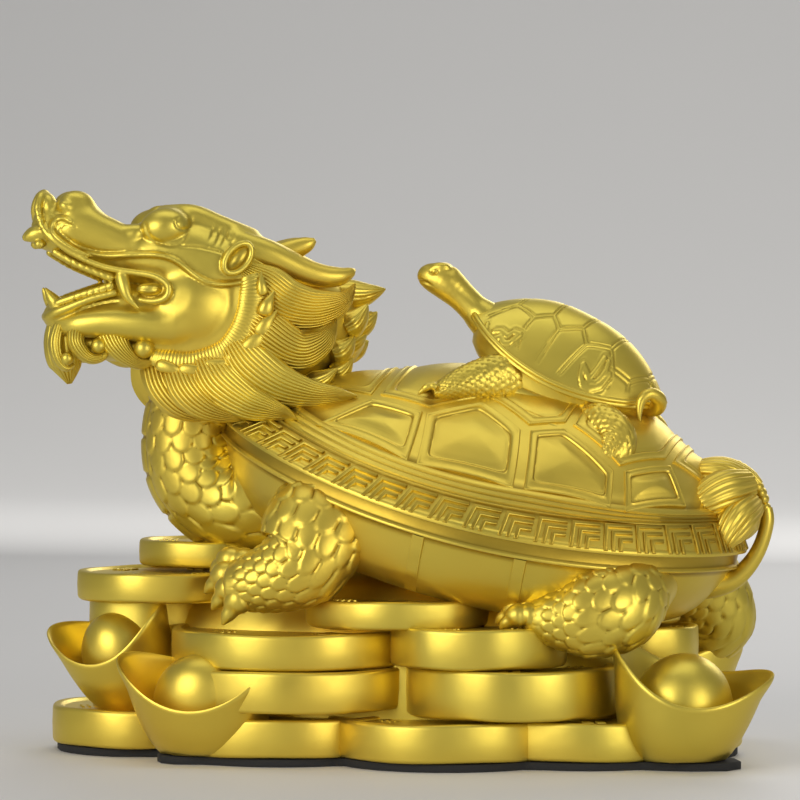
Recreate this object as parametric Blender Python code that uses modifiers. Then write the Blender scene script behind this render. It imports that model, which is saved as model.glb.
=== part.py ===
"""A cast dragon turtle figure.

A mother dragon turtle carries a small turtle on her shell and stands on a pile of coins and
boat-shaped ingots. The head looks towards -X and turns a little towards -Y, +Z is up, and the
figure stands on a thin pad. Sizes are in millimetres, and MM turns them into Blender's metres.
"""

import math

import bmesh
import bpy
from mathutils import Matrix, Vector

MM = 0.001

# The casting's triangles, after the joined forms are thinned
TRIANGLE_BUDGET = 9500
MEND_PASSES = 6

# The pile and the pad
PAD_THICKNESS = 2.7
PAD_INSET = 2.0
PAD_GAP = 0.4
PAD_POINTS = 96
FLOOR = PAD_THICKNESS + PAD_GAP
FOOTPRINT_CENTRE = Vector((2.5, 1.0, 0.0))
COIN_RIM = 3.2
COIN_RECESS = 1.0
COIN_STEPS = 24
INGOT_SIDES = 20

# The mother's shell
SHELL_CENTRE = (27.5, 0.0, 94.6)
SHELL_HALF_LENGTH = 95.0
SHELL_HALF_WIDTH = 66.0
SHELL_DOME = 40.0
SHELL_TILT = math.radians(14.5)
SHELL_DROOP = 12.0
SHELL_APEX_SHIFT = 12.0

# The small turtle's shell
SMALL_CENTRE = (56.0, 0.0, 137.0)
SMALL_HALF_LENGTH = 36.0
SMALL_HALF_WIDTH = 25.0
SMALL_DOME = 20.0
SMALL_TILT = math.radians(24.0)
SMALL_DROOP = 4.0

# The mother's head: the point under its pivot, and how far it turns towards the viewer
HEAD_PIVOT = Vector((-55.0, 0.0, 0.0))
HEAD_TURN = math.radians(21.0)

GREENISH_GOLD = (0.55, 0.42, 0.06, 1.0)
PAD_BLACK = (0.015, 0.015, 0.015, 1.0)


def clear_scene():
    """Remove everything, so that the script can be run again."""
    for thing in list(bpy.data.objects):
        bpy.data.objects.remove(thing, do_unlink=True)
    for group in list(bpy.data.collections):
        bpy.data.collections.remove(group)


def new_collection(name):
    """A collection under the scene's own one."""
    group = bpy.data.collections.new(name)
    bpy.context.scene.collection.children.link(group)
    return group


def metal(name, colour, roughness, metallic):
    """A plain shader with the colour and gloss of one finish."""
    material = bpy.data.materials.new(name)
    material.use_nodes = True
    shader = material.node_tree.nodes["Principled BSDF"]
    shader.inputs["Base Color"].default_value = colour
    shader.inputs["Roughness"].default_value = roughness
    shader.inputs["Metallic"].default_value = metallic
    return material


def add_object(bm, name, group):
    """Turn a closed bmesh in millimetres into an object in metres, with its faces pointing out."""
    bmesh.ops.translate(bm, verts=bm.verts, vec=-FOOTPRINT_CENTRE)
    bmesh.ops.scale(bm, verts=bm.verts, vec=(MM, MM, MM))
    bmesh.ops.recalc_face_normals(bm, faces=bm.faces)
    mesh = bpy.data.meshes.new(name)
    bm.to_mesh(mesh)
    bm.free()
    thing = bpy.data.objects.new(name, mesh)
    group.objects.link(thing)
    return thing


def smooth_rows(rows, count):
    """Read count rows of numbers from the smooth curve through the given rows."""
    last = len(rows) - 1
    result = []
    for step in range(count):
        place = step * last / (count - 1)
        index = min(int(place), last - 1)
        t = place - index
        before = rows[max(index - 1, 0)]
        start = rows[index]
        end = rows[index + 1]
        after = rows[min(index + 2, last)]
        row = []
        for p0, p1, p2, p3 in zip(before, start, end, after):
            bend = (2.0 * p0 - 5.0 * p1 + 4.0 * p2 - p3) * t * t + (3.0 * (p1 - p2) + p3 - p0) * t ** 3
            row.append(0.5 * (2.0 * p1 + (p2 - p0) * t + bend))
        result.append(row)
    return result


def skin(rings):
    """A closed bmesh through rings that all have the same number of points."""
    bm = bmesh.new()
    loops = [[bm.verts.new(point) for point in ring] for ring in rings]
    for low, high in zip(loops, loops[1:]):
        count = len(low)
        for i in range(count):
            j = (i + 1) % count
            bm.faces.new((low[i], low[j], high[j], high[i]))
    bm.faces.new(list(reversed(loops[0])))
    bm.faces.new(loops[-1])
    return bm


def limb(stations, sides, samples, side_way=(0.0, 1.0, 0.0)):
    """A loft along a path; a station is x, y, z, half width along side_way and half depth."""
    rows = smooth_rows(stations, samples)
    centres = [Vector(row[:3]) for row in rows]
    rings = []
    for index, row in enumerate(rows):
        ahead = centres[min(index + 1, samples - 1)]
        behind = centres[max(index - 1, 0)]
        along = (ahead - behind).normalized()
        side = Vector(side_way)
        side = (side - along * side.dot(along)).normalized()
        rise = along.cross(side)
        ring = []
        for k in range(sides):
            angle = 2.0 * math.pi * k / sides
            ring.append(centres[index] + side * row[3] * math.cos(angle) + rise * row[4] * math.sin(angle))
        rings.append(ring)
    return skin(rings)


def ball(centre, half_sizes, segments=12, rings=7, turn=0.0):
    """An ellipsoid, turned about the upright axis."""
    bm = bmesh.new()
    bmesh.ops.create_uvsphere(bm, u_segments=segments, v_segments=rings, radius=1.0)
    place = Matrix.Translation(centre) @ Matrix.Rotation(turn, 4, "Z") @ Matrix.Diagonal((*half_sizes, 1.0))
    bmesh.ops.transform(bm, matrix=place, verts=bm.verts)
    return bm


def spike(base, tip, radius, sides=6):
    """A tooth or claw: a cone from its base point to its tip."""
    way = Vector(tip) - Vector(base)
    bm = bmesh.new()
    bmesh.ops.create_cone(bm, cap_ends=True, segments=sides, radius1=radius, radius2=radius * 0.12,
                          depth=way.length)
    middle = (Vector(base) + Vector(tip)) / 2.0
    place = Matrix.Translation(middle) @ way.to_track_quat("Z", "Y").to_matrix().to_4x4()
    bmesh.ops.transform(bm, matrix=place, verts=bm.verts)
    return bm


def turned(profile, steps):
    """A bmesh turned about Z from a profile that runs from the top axis down its outer side."""
    mesh = bpy.data.meshes.new("profile")
    edges = [(i, i + 1) for i in range(len(profile) - 1)]
    mesh.from_pydata([(radius, 0.0, height) for radius, height in profile], edges, [])
    thing = bpy.data.objects.new("profile", mesh)
    bpy.context.scene.collection.objects.link(thing)
    screw = thing.modifiers.new("Turn", "SCREW")
    screw.steps = steps
    screw.render_steps = steps
    screw.use_merge_vertices = True
    screw.merge_threshold = 0.0001
    bpy.context.view_layer.update()
    evaluated = thing.evaluated_get(bpy.context.evaluated_depsgraph_get())
    bm = bmesh.new()
    bm.from_mesh(evaluated.to_mesh())
    bmesh.ops.remove_doubles(bm, verts=bm.verts, dist=0.0001)
    bpy.data.objects.remove(thing, do_unlink=True)
    bpy.data.meshes.remove(mesh)
    return bm


class Shell:
    """The surface of a domed shell, addressed by x and y from -1 to 1 along and across it."""

    def __init__(self, centre, half_length, half_width, dome, tilt, droop, apex_shift):
        self.half_length = half_length
        self.half_width = half_width
        self.dome = dome
        self.droop = droop
        self.apex_shift = apex_shift
        self.place = Matrix.Translation(centre) @ Matrix.Rotation(tilt, 4, "Y")

    def point(self, x, y, lift=0.0):
        """The point over x, y, raised by lift; the dome is fuller towards the tail."""
        radius = math.hypot(x, y)
        along = x / radius if radius > 0.0 else 0.0
        power = 1.85 + 0.6 * along * along + 0.4 * along
        height = self.dome * (1.0 - min(radius, 1.0) ** power) - self.droop * y * y
        inward = 1.0 - min(radius, 1.0) ** 2
        place = Vector((self.half_length * x + self.apex_shift * inward, self.half_width * y, height + lift))
        return self.place @ place


def shell_body(shell, strip, under, steps):
    """The domed body: raised strips and a flared band on top, and a sloping underside."""
    top = [(0.0, 0.0), (0.3, 0.0), (0.55, 0.0), (0.72, 0.0), (0.8, 0.0)]
    band = [(0.825, 0.0), (0.83, strip), (0.875, strip), (0.88, 0.0), (0.9, 0.0), (0.905, strip * 0.8)]
    edge = [(1.0, 0.0), (0.975, -under * 0.16), (0.9, -under * 0.3), (0.6, -under), (0.0, -under)]
    bm = turned(top + band + edge, steps)
    for vert in bm.verts:
        x, y, height = vert.co
        vert.co = shell.point(x, y, height)
    return bm


def plate(shell, corners, gap, lift, root):
    """One raised plate of a shell: its outline is drawn in, and its middle follows the dome."""
    middle = Vector((sum(c[0] for c in corners), sum(c[1] for c in corners))) / len(corners)
    outline = []
    for index, corner in enumerate(corners):
        following = corners[(index + 1) % len(corners)]
        for part in range(2):
            place = Vector(corner).lerp(Vector(following), part / 2.0)
            outline.append(place + (middle - place).normalized() * gap)
    bm = bmesh.new()
    top = [bm.verts.new(shell.point(p.x, p.y, lift)) for p in outline]
    low = [bm.verts.new(shell.point(p.x, p.y, -root)) for p in outline]
    crown = bm.verts.new(shell.point(middle.x, middle.y, lift))
    floor = bm.verts.new(shell.point(middle.x, middle.y, -root))
    count = len(outline)
    for i in range(count):
        j = (i + 1) % count
        bm.faces.new((top[i], top[j], crown))
        bm.faces.new((low[j], low[i], floor))
        bm.faces.new((low[i], low[j], top[j], top[i]))
    return bm


def plate_outlines():
    """The five plates along the back and four on each side, in the shell's own x and y."""
    joints = (-0.62, -0.34, 0.06, 0.44)
    apexes = (-0.8, -0.5, -0.15, 0.24, 0.6, 0.8)
    inner = 0.44
    wide = 0.55
    outer = 0.8
    plates = []
    for index in range(5):
        front = apexes[index]
        back = apexes[index + 1]
        front_half = 0.2 if index == 0 else inner
        back_half = 0.22 if index == 4 else inner
        if index in (0, 4):
            plates.append([(front, -front_half), (back, -back_half), (back, back_half), (front, front_half)])
        else:
            joint = joints[index]
            row = [(front, -front_half), (joint, -wide), (back, -back_half)]
            plates.append(row + [(back, back_half), (joint, wide), (front, front_half)])
    rim = [(-0.72, 0.35)] + [(x, math.sqrt(outer * outer - x * x)) for x in joints[1:]] + [(0.66, 0.45)]
    edges = [(-0.66, 0.3)] + [(x, wide) for x in joints[1:]] + [(0.7, 0.26)]
    for side in (-1.0, 1.0):
        for index in range(4):
            corners = [rim[index], edges[index], (apexes[index + 1], inner), edges[index + 1], rim[index + 1]]
            plates.append([(x, y * side) for x, y in corners])
    return plates


def head_point(forward, side, height):
    """A point from the head's own axes: forward of the pivot, towards the viewer, and up."""
    x = -forward * math.cos(HEAD_TURN) + side * math.sin(HEAD_TURN)
    y = -forward * math.sin(HEAD_TURN) - side * math.cos(HEAD_TURN)
    return HEAD_PIVOT + Vector((x, y, height))


def head_loft(sections, sides, samples):
    """A loft along the head; a section is forward, top, bottom, half width, squareness."""
    rings = []
    for forward, top, bottom, half_width, square in smooth_rows(sections, samples):
        ring = []
        for k in range(sides):
            angle = 2.0 * math.pi * (k + 0.5) / sides
            across = math.copysign(abs(math.cos(angle)) ** (2.0 / square), math.cos(angle))
            rise = math.copysign(abs(math.sin(angle)) ** (2.0 / square), math.sin(angle))
            height = (top + bottom) / 2.0 + rise * (top - bottom) / 2.0
            ring.append(head_point(forward, across * half_width, height))
        rings.append(ring)
    return skin(rings)


def head_path(points, radii, sides, samples):
    """A rounded strip through points in the head's axes: forward, side, height; radii repeat."""
    stations = []
    for index, point in enumerate(points):
        radius = radii[index]
        stations.append((*head_point(*point), radius[0], radius[1]))
    across = head_point(0.0, 1.0, 0.0) - head_point(0.0, 0.0, 0.0)
    return limb(stations, sides, samples, side_way=across)


def head_forms():
    """The mother's head: jaws, brows, lips, teeth, ears, horns, cheeks and beard."""
    forms = []
    upper_jaw = [(77.5, 191.5, 187.5, 5, 2.2), (74, 192, 182, 10, 2.4), (68, 190, 176.5, 12.5, 2.4),
                 (62, 195.5, 172.5, 13, 2.4), (56, 192, 169, 13, 2.4), (50, 186, 165, 13.5, 2.4),
                 (43, 185, 163, 16, 2.3), (34, 188, 160, 19.5, 2.2), (22, 189.5, 156, 22, 2.2),
                 (8, 185, 148, 23, 2.1), (-8, 178, 138, 21, 2.0), (-22, 172, 132, 14, 2.0)]
    forms.append(head_loft(upper_jaw, 12, 14))
    lower_jaw = [(74.5, 155, 150.5, 6, 2.4), (71, 158, 147.5, 9.5, 2.6), (62, 159.5, 145.5, 11.5, 2.6),
                 (50, 163, 144.5, 13, 2.5), (38, 164, 142, 16, 2.4), (22, 162, 133, 20, 2.2),
                 (6, 156, 128, 20, 2.0)]
    forms.append(head_loft(lower_jaw, 10, 8))
    for side in (1.0, -1.0):
        forms += head_side_forms(side)
    forms.append(head_path([(40, 0, 163), (54, 0, 161.5), (63, 0, 160.5)], [(7, 3), (6, 2), (3, 1)], 8, 4))
    beard = [(68, 0, 152), (70, 0, 142), (66, 0, 133), (61.5, 0, 127)]
    forms.append(head_path(beard, [(9, 6), (9, 7), (6, 5), (0.8, 0.8)], 8, 6))
    chin_curls = [(66, 0, 147), (54, 0, 143), (40, 0, 140), (26, 0, 136)]
    forms.append(head_path(chin_curls, [(8, 5), (11, 6.5), (14, 6.5), (15, 7)], 10, 5))
    return forms


def head_side_forms(side):
    """The forms on one side of the head; side is 1 towards the viewer and -1 away."""
    forms = []
    brow = [(44, 13, 179), (40, 15, 183), (31, 16, 183.5), (22, 15.5, 182), (10, 14, 179)]
    ridge = [(f, side * s, z) for f, s, z in brow]
    forms.append(head_path(ridge, [(3, 3), (6, 6), (7, 7.5), (6, 6), (3, 3)], 10, 8))
    forms.append(ball(head_point(46, side * 12.5, 180), (4, 3.5, 3.5), 8, 5, HEAD_TURN))
    forms.append(ball(head_point(60, side * 8, 190.5), (6, 4.5, 4.5), 10, 6, HEAD_TURN))
    forms.append(ball(head_point(20, side * 14, 152), (20, 11, 17), 14, 9, HEAD_TURN))
    upper_lip = [(76, 5, 190), (72.5, 11, 180), (64, 13.5, 173.8), (55, 14.5, 169.5), (44, 17, 167.2),
                 (36, 20, 165.5), (32, 22, 162), (35, 21, 158)]
    lip = [(f, side * s, z) for f, s, z in upper_lip]
    forms.append(head_path(lip, [(1.8, 1.8)] * len(lip), 5, 11))
    whisker = [(69, 12, 186), (68, 13, 180.5), (60, 14.3, 174.8), (48, 16.5, 172.6), (36, 20.5, 172.6),
               (28, 23.5, 170), (20, 24.5, 164.5), (10, 24.5, 163)]
    ridge = [(f, side * s, z) for f, s, z in whisker]
    forms.append(head_path(ridge, [(1.5, 1.3)] * len(ridge), 5, 11))
    lower_lip = [(75, 3, 152.5), (71, 10, 154.5), (62, 12.5, 156.5), (52, 14, 159.5)]
    lip = [(f, side * s, z) for f, s, z in lower_lip]
    forms.append(head_path(lip, [(1.6, 2.2)] * len(lip), 5, 5))
    forms.append(spike(head_point(49, side * 13.5, 167.5), head_point(43.5, side * 14.5, 154.5), 2.8))
    forms.append(spike(head_point(73, side * 5, 184), head_point(78, side * 5.5, 178.5), 3.2))
    forms.append(spike(head_point(71, side * 6.5, 154), head_point(73, side * 7, 161.5), 2.6))
    ear = [(14, 21, 168), (8, 24, 171.5), (1, 24.5, 176.5)]
    cup = [(f, side * s, z) for f, s, z in ear]
    forms.append(head_path(cup, [(2.2, 2.0), (3.4, 5.0), (1.4, 2.2)], 8, 6))
    horn = [(8, 11, 178), (-6, 13, 174.5), (-20, 15, 168), (-30, 16, 166.5), (-37, 16, 167.5)]
    curve = [(f, side * s, z) for f, s, z in horn]
    forms.append(head_path(curve, [(6, 5.5), (6, 5.5), (5, 4.8), (4, 4), (1.5, 1.5)], 7, 7))
    forms.append(head_path([(-8, side * 6, 172), (-16, side * 8, 176), (-21, side * 9, 178.5)],
                           [(6, 5), (4, 3.5), (1.6, 1.6)], 6, 4))
    fringe = [(30, 19, 142), (20, 22.5, 139.5), (9, 24.5, 143), (0, 25.5, 152), (-4, 24, 163)]
    band = [(f, side * s, z) for f, s, z in fringe]
    forms.append(head_path(band, [(4, 4.5)] * len(band), 6, 7))
    for forward, across, height, radius in ((66, 8, 137.5, 2.2), (56, 11.5, 142, 2.9), (40, 15.5, 140.5, 3.4)):
        forms.append(ball(head_point(forward, side * across, height), (radius,) * 3, 8, 5))
    return forms


def mane_forms():
    """The mane: a solid core behind the cheeks and wide pointed locks swept back over it."""
    forms = []
    core = [(10, 0, 150), (-6, 0, 150), (-20, 0, 146), (-32, 0, 140), (-40, 0, 136)]
    forms.append(head_path(core, [(20, 26), (24, 28), (21, 25), (15, 17), (6, 7)], 14, 8))
    locks = [
        [(2, 22, 168, 4, 5), (-8, 25, 163, 3.5, 8), (-20, 24, 157.5, 3, 8.5), (-29, 20, 157.5, 2, 6),
         (-35, 16, 167, 0.6, 0.8)],
        [(0, 26, 154, 4, 8), (-10, 29, 147, 4, 10), (-19, 29, 143, 3.5, 9), (-26, 26, 145, 2.4, 6),
         (-30, 23, 154, 0.6, 0.8)],
        [(4, 27, 146, 4, 7), (-4, 32, 137, 4, 8), (-15, 35, 130, 4, 8), (-27, 34, 126, 3, 6),
         (-41, 30, 124.5, 0.6, 0.9)],
        [(12, 26, 141, 4, 7), (8, 31, 132, 4, 8), (-1, 35, 124, 4, 8), (-11, 36, 120, 3, 5.5),
         (-20, 35, 115.5, 0.6, 0.8)],
        [(21, 24, 140, 4, 7), (21, 28, 130, 4, 8), (15, 32, 121.5, 4, 7.5), (7, 33, 117.5, 3, 5),
         (0, 31, 116, 0.6, 0.8)],
        [(30, 19, 139, 4, 7), (33, 22, 129, 4, 8), (29, 25, 121, 4, 7), (22, 27, 117, 3, 4.5),
         (13, 26, 115.5, 0.6, 0.8)],
    ]
    for side in (1.0, -1.0):
        for lock in locks:
            points = [(f, side * s, z) for f, s, z, _, _ in lock]
            forms.append(head_path(points, [row[3:] for row in lock], 8, 7))
        throat = [(32, side * 8, 138), (37, side * 9, 128), (35, side * 11, 119), (28, side * 12, 114)]
        forms.append(head_path(throat, [(7, 5), (8, 5), (7, 5), (2, 2)], 8, 6))
    spikes = [(-36, 8, 158, -44, 10, 163), (-38, -8, 152, -46, -10, 155), (-36, 10, 146, -43, 13, 148),
              (-34, -12, 141, -41, -15, 141), (-32, 16, 136, -38, 20, 136), (-38, 0, 146, -46, 0, 148)]
    for base_f, base_s, base_z, tip_f, tip_s, tip_z in spikes:
        base = head_point(base_f + 8, base_s * 0.8, base_z - 3)
        forms.append(spike(base, head_point(tip_f, tip_s, tip_z), 6.5))
    return forms


def neck_form():
    """The thick neck and chest, from inside the body up to the back of the head."""
    stations = [(-18, 0, 97, 38, 28), (-42, 0, 93, 30, 26), (-60, -1.5, 88, 20, 19.5),
                (-72, -3, 97, 18, 18), (-75, -4, 111, 17.5, 16.5), (-71, -4, 126, 18, 16),
                (-62, -3, 140, 18, 17)]
    return limb(stations, 16, 12)


def foot_claws(points, radius):
    """Toes with claws; a point is the toe's root and its tip."""
    forms = []
    for root, tip in points:
        knuckle = Vector(root).lerp(Vector(tip), 0.5) + Vector((0.0, 0.0, 1.5))
        stations = [(*root, radius, radius), (*knuckle, radius * 0.9, radius * 0.9), (*tip, 0.8, 0.8)]
        forms.append(limb(stations, 6, 4))
    return forms


def leg_forms():
    """The four legs of the mother with their toes; the far ones mirror the near ones."""
    forms = []
    front = [(-18, 32, 94, 15, 17), (-19, 45, 83, 14, 20), (-21, 52, 70, 13, 22), (-36, 55, 59.5, 12, 14.5),
             (-50, 55, 55, 10, 8.5), (-58, 54, 53.5, 7, 6)]
    hind = [(92, 30, 66, 14, 18), (85, 42, 60, 12, 17), (79, 48, 52, 11, 16.5), (63, 51, 48, 9.5, 11.5),
            (49, 51, 47.5, 8.5, 7.5), (42, 50, 47, 6.5, 5)]
    front_toes = [((-55, 47, 58), (-68, 43, 62)), ((-56, 51, 56), (-70, 49, 54.5)),
                  ((-57, 55, 54), (-67, 56, 50)), ((-55, 59, 54), (-62, 62, 47.5))]
    hind_toes = [((45, 45, 48), (33, 43, 47)), ((45, 50, 48), (31, 49, 46.5)), ((46, 54, 47), (33, 55, 46))]
    for side in (-1.0, 1.0):
        for stations, toes, radius in ((front, front_toes, 4.2), (hind, hind_toes, 3.6)):
            turned_stations = [(x, side * y, z, a, b) for x, y, z, a, b in stations]
            forms.append(limb(turned_stations, 12, 9))
            points = [((r[0], side * r[1], r[2]), (t[0], side * t[1], t[2])) for r, t in toes]
            forms += foot_claws(points, radius)
    far_thigh = [(94, 26, 64, 14, 16), (103, 38, 53, 12, 14), (107, 42, 42, 10, 12), (103, 44, 34, 9, 9)]
    forms.append(limb(far_thigh, 12, 7))
    return forms


def tail_forms():
    """The tail curls up behind the shell and ends in a tuft of three locks over its rear."""
    tube = [(98, 0, 58, 8, 8), (112, 0, 60, 6, 6), (120, 0, 67, 4.5, 4.5), (124, 0, 79, 4, 4),
            (122, 0, 90, 5, 5), (115, 0, 95.5, 9, 6), (106, 0, 98, 10, 5), (96, 0, 96, 5, 2)]
    forms = [limb(tube, 10, 14)]
    for side in (-1.0, 1.0):
        middle = [(119, side * 3, 94, 6, 6), (112, side * 11, 91.5, 7, 7), (106, side * 16, 88, 5, 5),
                  (101, side * 18, 85.5, 1, 1)]
        lower = [(121, side * 4, 86, 6, 6), (117, side * 12, 82, 6, 6.5), (114, side * 16, 77, 4.5, 4.5),
                 (112, side * 16, 72, 1, 1)]
        forms.append(limb(middle, 8, 6))
        forms.append(limb(lower, 8, 6))
    for x, z in ((118, 97), (121.3, 92.5), (123.8, 88), (125.3, 83)):
        forms.append(ball((x, 0, z), (2.4, 2.4, 2.4), 8, 5))
    return forms


def small_turtle_forms(shell):
    """The small turtle: shell with plates, raised neck and head, legs, tail and a cast footing."""
    forms = [shell_body(shell, 0.7, 9.0, 24)]
    for outline in plate_outlines():
        forms.append(plate(shell, outline, 0.03, 0.9, 1.5))
    neck = [(40, -1, 146, 7, 7), (30, -2, 150, 6, 6), (21, -3, 156, 5, 5), (14, -3.5, 162, 4.6, 4.6),
            (8, -3.5, 165.5, 4.8, 4.4), (3, -3.5, 165.3, 2.2, 2.2)]
    forms.append(limb(neck, 8, 9))
    for side in (-1.0, 1.0):
        front = [(42, side * 14, 139, 6, 8), (33, side * 20, 136.5, 6, 8), (22, side * 25, 132.5, 5.5, 6),
                 (12, side * 28, 129, 4, 3.4)]
        forms.append(limb(front, 8, 6))
        toes = [((13, side * y, 129), (5, side * (y + 1), 126.5)) for y in (26, 29, 32)]
        forms += foot_claws(toes, 1.8)
        hind = [(68, side * 14, 120, 6, 7), (74, side * 22, 115, 5.5, 6.5), (73, side * 27, 109, 4.5, 6),
                (67, side * 29, 104, 3.6, 4.5)]
        forms.append(limb(hind, 8, 6))
        toes = [((68, side * y, 104), (61, side * (y + 1), 101.5)) for y in (26.5, 29, 31.5)]
        forms += foot_claws(toes, 1.8)
    tail = [(86, -6, 121, 2.5, 2.5), (88, -13, 122, 2.4, 2.4), (86, -18, 124.5, 2, 2), (82, -21, 121, 0.9, 0.9)]
    forms.append(limb(tail, 6, 6))
    footing = [(18, 0, 128, 18, 8), (38, 0, 127, 25, 10), (60, 0, 121, 26, 10), (80, 0, 107, 20, 9)]
    forms.append(limb(footing, 12, 6))
    return forms


def coin(x, y, top, radius, thickness, steps=COIN_STEPS, pitch=0.0):
    """A coin lying flat, with a raised rim and a recessed face; pitch tips it about Y."""
    recess = COIN_RECESS
    profile = [(0.0, -recess), (radius - COIN_RIM - recess, -recess), (radius - COIN_RIM, 0.0),
               (radius, 0.0), (radius, -thickness), (0.0, -thickness)]
    bm = turned(profile, steps)
    place = Matrix.Translation((x, y, top)) @ Matrix.Rotation(pitch, 4, "Y")
    bmesh.ops.transform(bm, matrix=place, verts=bm.verts)
    return bm


def ingot(centre, half_length, half_width, height, turn, tilt=0.0, lean=0.0):
    """A boat-shaped ingot: a flared hull whose rim rises to both ends, with a dome inside.

    tilt lifts its -X end, lean tips its opening towards -Y, and its foot is worn flat where it
    would pass the floor.
    """
    levels = ((0.45, 0.55, 0.0, 0.0), (0.68, 0.82, 0.22, 0.08), (0.86, 0.95, 0.45, 0.18),
              (0.98, 1.0, 0.66, 0.26), (1.0, 0.99, 0.7, 0.28), (0.93, 0.9, 0.68, 0.26), (0.75, 0.74, 0.5, 0.1))
    rings = []
    for length_share, width_share, level, lift in levels:
        ring = []
        for k in range(INGOT_SIDES):
            angle = 2.0 * math.pi * k / INGOT_SIDES
            along = math.cos(angle)
            rise = level + lift * along * along
            ring.append((half_length * length_share * along, half_width * width_share * math.sin(angle),
                         height * rise))
        rings.append(ring)
    hull = skin(rings)
    dome = ball((0.0, 0.0, height * 0.5), (half_length * 0.62, half_width * 0.72, height * 0.5), 14, 8)
    tip = Matrix.Rotation(tilt, 4, "Y") @ Matrix.Rotation(lean, 4, "X")
    place = Matrix.Translation(centre) @ Matrix.Rotation(turn, 4, "Z") @ tip
    for bm in (hull, dome):
        bmesh.ops.transform(bm, matrix=place, verts=bm.verts)
        for vert in bm.verts:
            vert.co.z = max(vert.co.z, FLOOR)
    return [hull, dome]


def bottom_coins():
    """The coins that stand on the pad: x, y, radius; the pad takes its outline from them."""
    return [(-90, -8, 34), (20, -32, 41), (-38, -24, 42), (66, -22, 38), (14, 34, 41), (-40, 28, 42),
            (62, 28, 41), (86, 4, 32)]


def ingot_feet():
    """Discs as wide as the feet of the ingots that stand on the pad: x, y, radius."""
    return [(-66, -50, 13), (-54, -50, 13), (99, -43, 14), (110, -40, 14), (-72, 50, 13), (98, 46, 14)]


def pile_forms():
    """The pile of coins and ingots with the solid mound between them."""
    mound = []
    for share, level in ((1.0, FLOOR), (0.97, 30.0), (0.9, 46.0), (0.75, 62.0)):
        ring = []
        for k in range(24):
            angle = 2.0 * math.pi * k / 24
            ring.append((98.0 * share * math.cos(angle), 44.0 * share * math.sin(angle), level))
        mound.append(ring)
    forms = [skin(mound)]
    for x, y, radius in bottom_coins():
        forms.append(coin(x, y, 16.0, radius, 16.0 - FLOOR))
    upper = [(-40, -27, 32.3, 41, 12.3), (42, -32, 32.3, 36, 12.3), (-36, -26, 44.7, 39.5, 12.0),
             (32, -38, 46, 29, 12.5), (3, -30, 56, 32, 9.5), (-84, -9, 63, 30, 10),
             (-71, 9, 73, 25, 9), (-58, 28, 32.3, 38, 12.3), (40, 30, 32.3, 38, 12.3),
             (-40, 28, 44.7, 39, 12.0), (30, 36, 46, 30, 12.5), (0, 30, 56, 32, 9.5),
             (88, 8, 45, 30, 12), (84, 2, 56, 26, 10)]
    for x, y, top, radius, thickness in upper:
        forms.append(coin(x, y, top, radius, thickness))
    steep = math.radians(24)
    gentle = math.radians(12)
    forms += ingot((-60, -46, FLOOR), 27, 18, 36, math.radians(-3), 0.0, steep)
    forms += ingot((-91, -16, 17), 22, 17, 34, math.radians(-16), -gentle, steep)
    forms += ingot((103, -38, FLOOR), 28, 23, 36, math.radians(6), gentle / 2.0, gentle)
    forms += ingot((-72, 48, FLOOR), 27, 17, 36, math.radians(4), 0.0, -gentle)
    forms += ingot((98, 44, FLOOR), 29, 20, 35, math.radians(-14), 0.0, -gentle)
    fold = [(54, -56, 10, 5, 5), (64, -58, 11, 9, 7), (76, -56, 9, 6, 4)]
    forms.append(limb(fold, 8, 4))
    forms.append(limb([(-84, -40, 47, 10, 5), (-60, -48, 47, 12, 3.4), (-38, -50, 47, 10, 3)], 6, 4))
    return forms


def belly_form():
    """The rounded underside of the mother, which settles on the coins."""
    stations = [(-42, 0, 84, 22, 12), (-28, 0, 82, 42, 20), (0, 0, 77, 55, 23), (35, 0, 71, 57, 22),
                (70, 0, 64, 50, 19), (98, 0, 60, 34, 13), (108, 0, 58, 16, 7)]
    return limb(stations, 18, 10)


def keep_largest_body(bm):
    """Delete the small closed pockets that are left inside where forms nearly meet."""
    unseen = set(bm.verts)
    bodies = []
    while unseen:
        body = [unseen.pop()]
        for vert in body:
            for edge in vert.link_edges:
                other = edge.other_vert(vert)
                if other in unseen:
                    unseen.remove(other)
                    body.append(other)
        bodies.append(body)
    bodies.sort(key=len)
    for body in bodies[:-1]:
        bmesh.ops.delete(bm, geom=body, context="VERTS")


def mend_slivers(bm):
    """Cut out the few slivers where three forms cross in one place, and close the holes flat."""
    for _ in range(MEND_PASSES):
        torn = [edge for edge in bm.edges if len(edge.link_faces) != 2]
        if not torn:
            return
        around = {face for edge in torn for vert in edge.verts for face in vert.link_faces}
        bmesh.ops.delete(bm, geom=list(around), context="FACES")
        loose = [vert for vert in bm.verts if not vert.link_faces]
        bmesh.ops.delete(bm, geom=loose, context="VERTS")
        rim = [edge for edge in bm.edges if edge.is_boundary]
        caps = bmesh.ops.holes_fill(bm, edges=rim, sides=0)["faces"]
        bmesh.ops.triangulate(bm, faces=caps)


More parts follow.
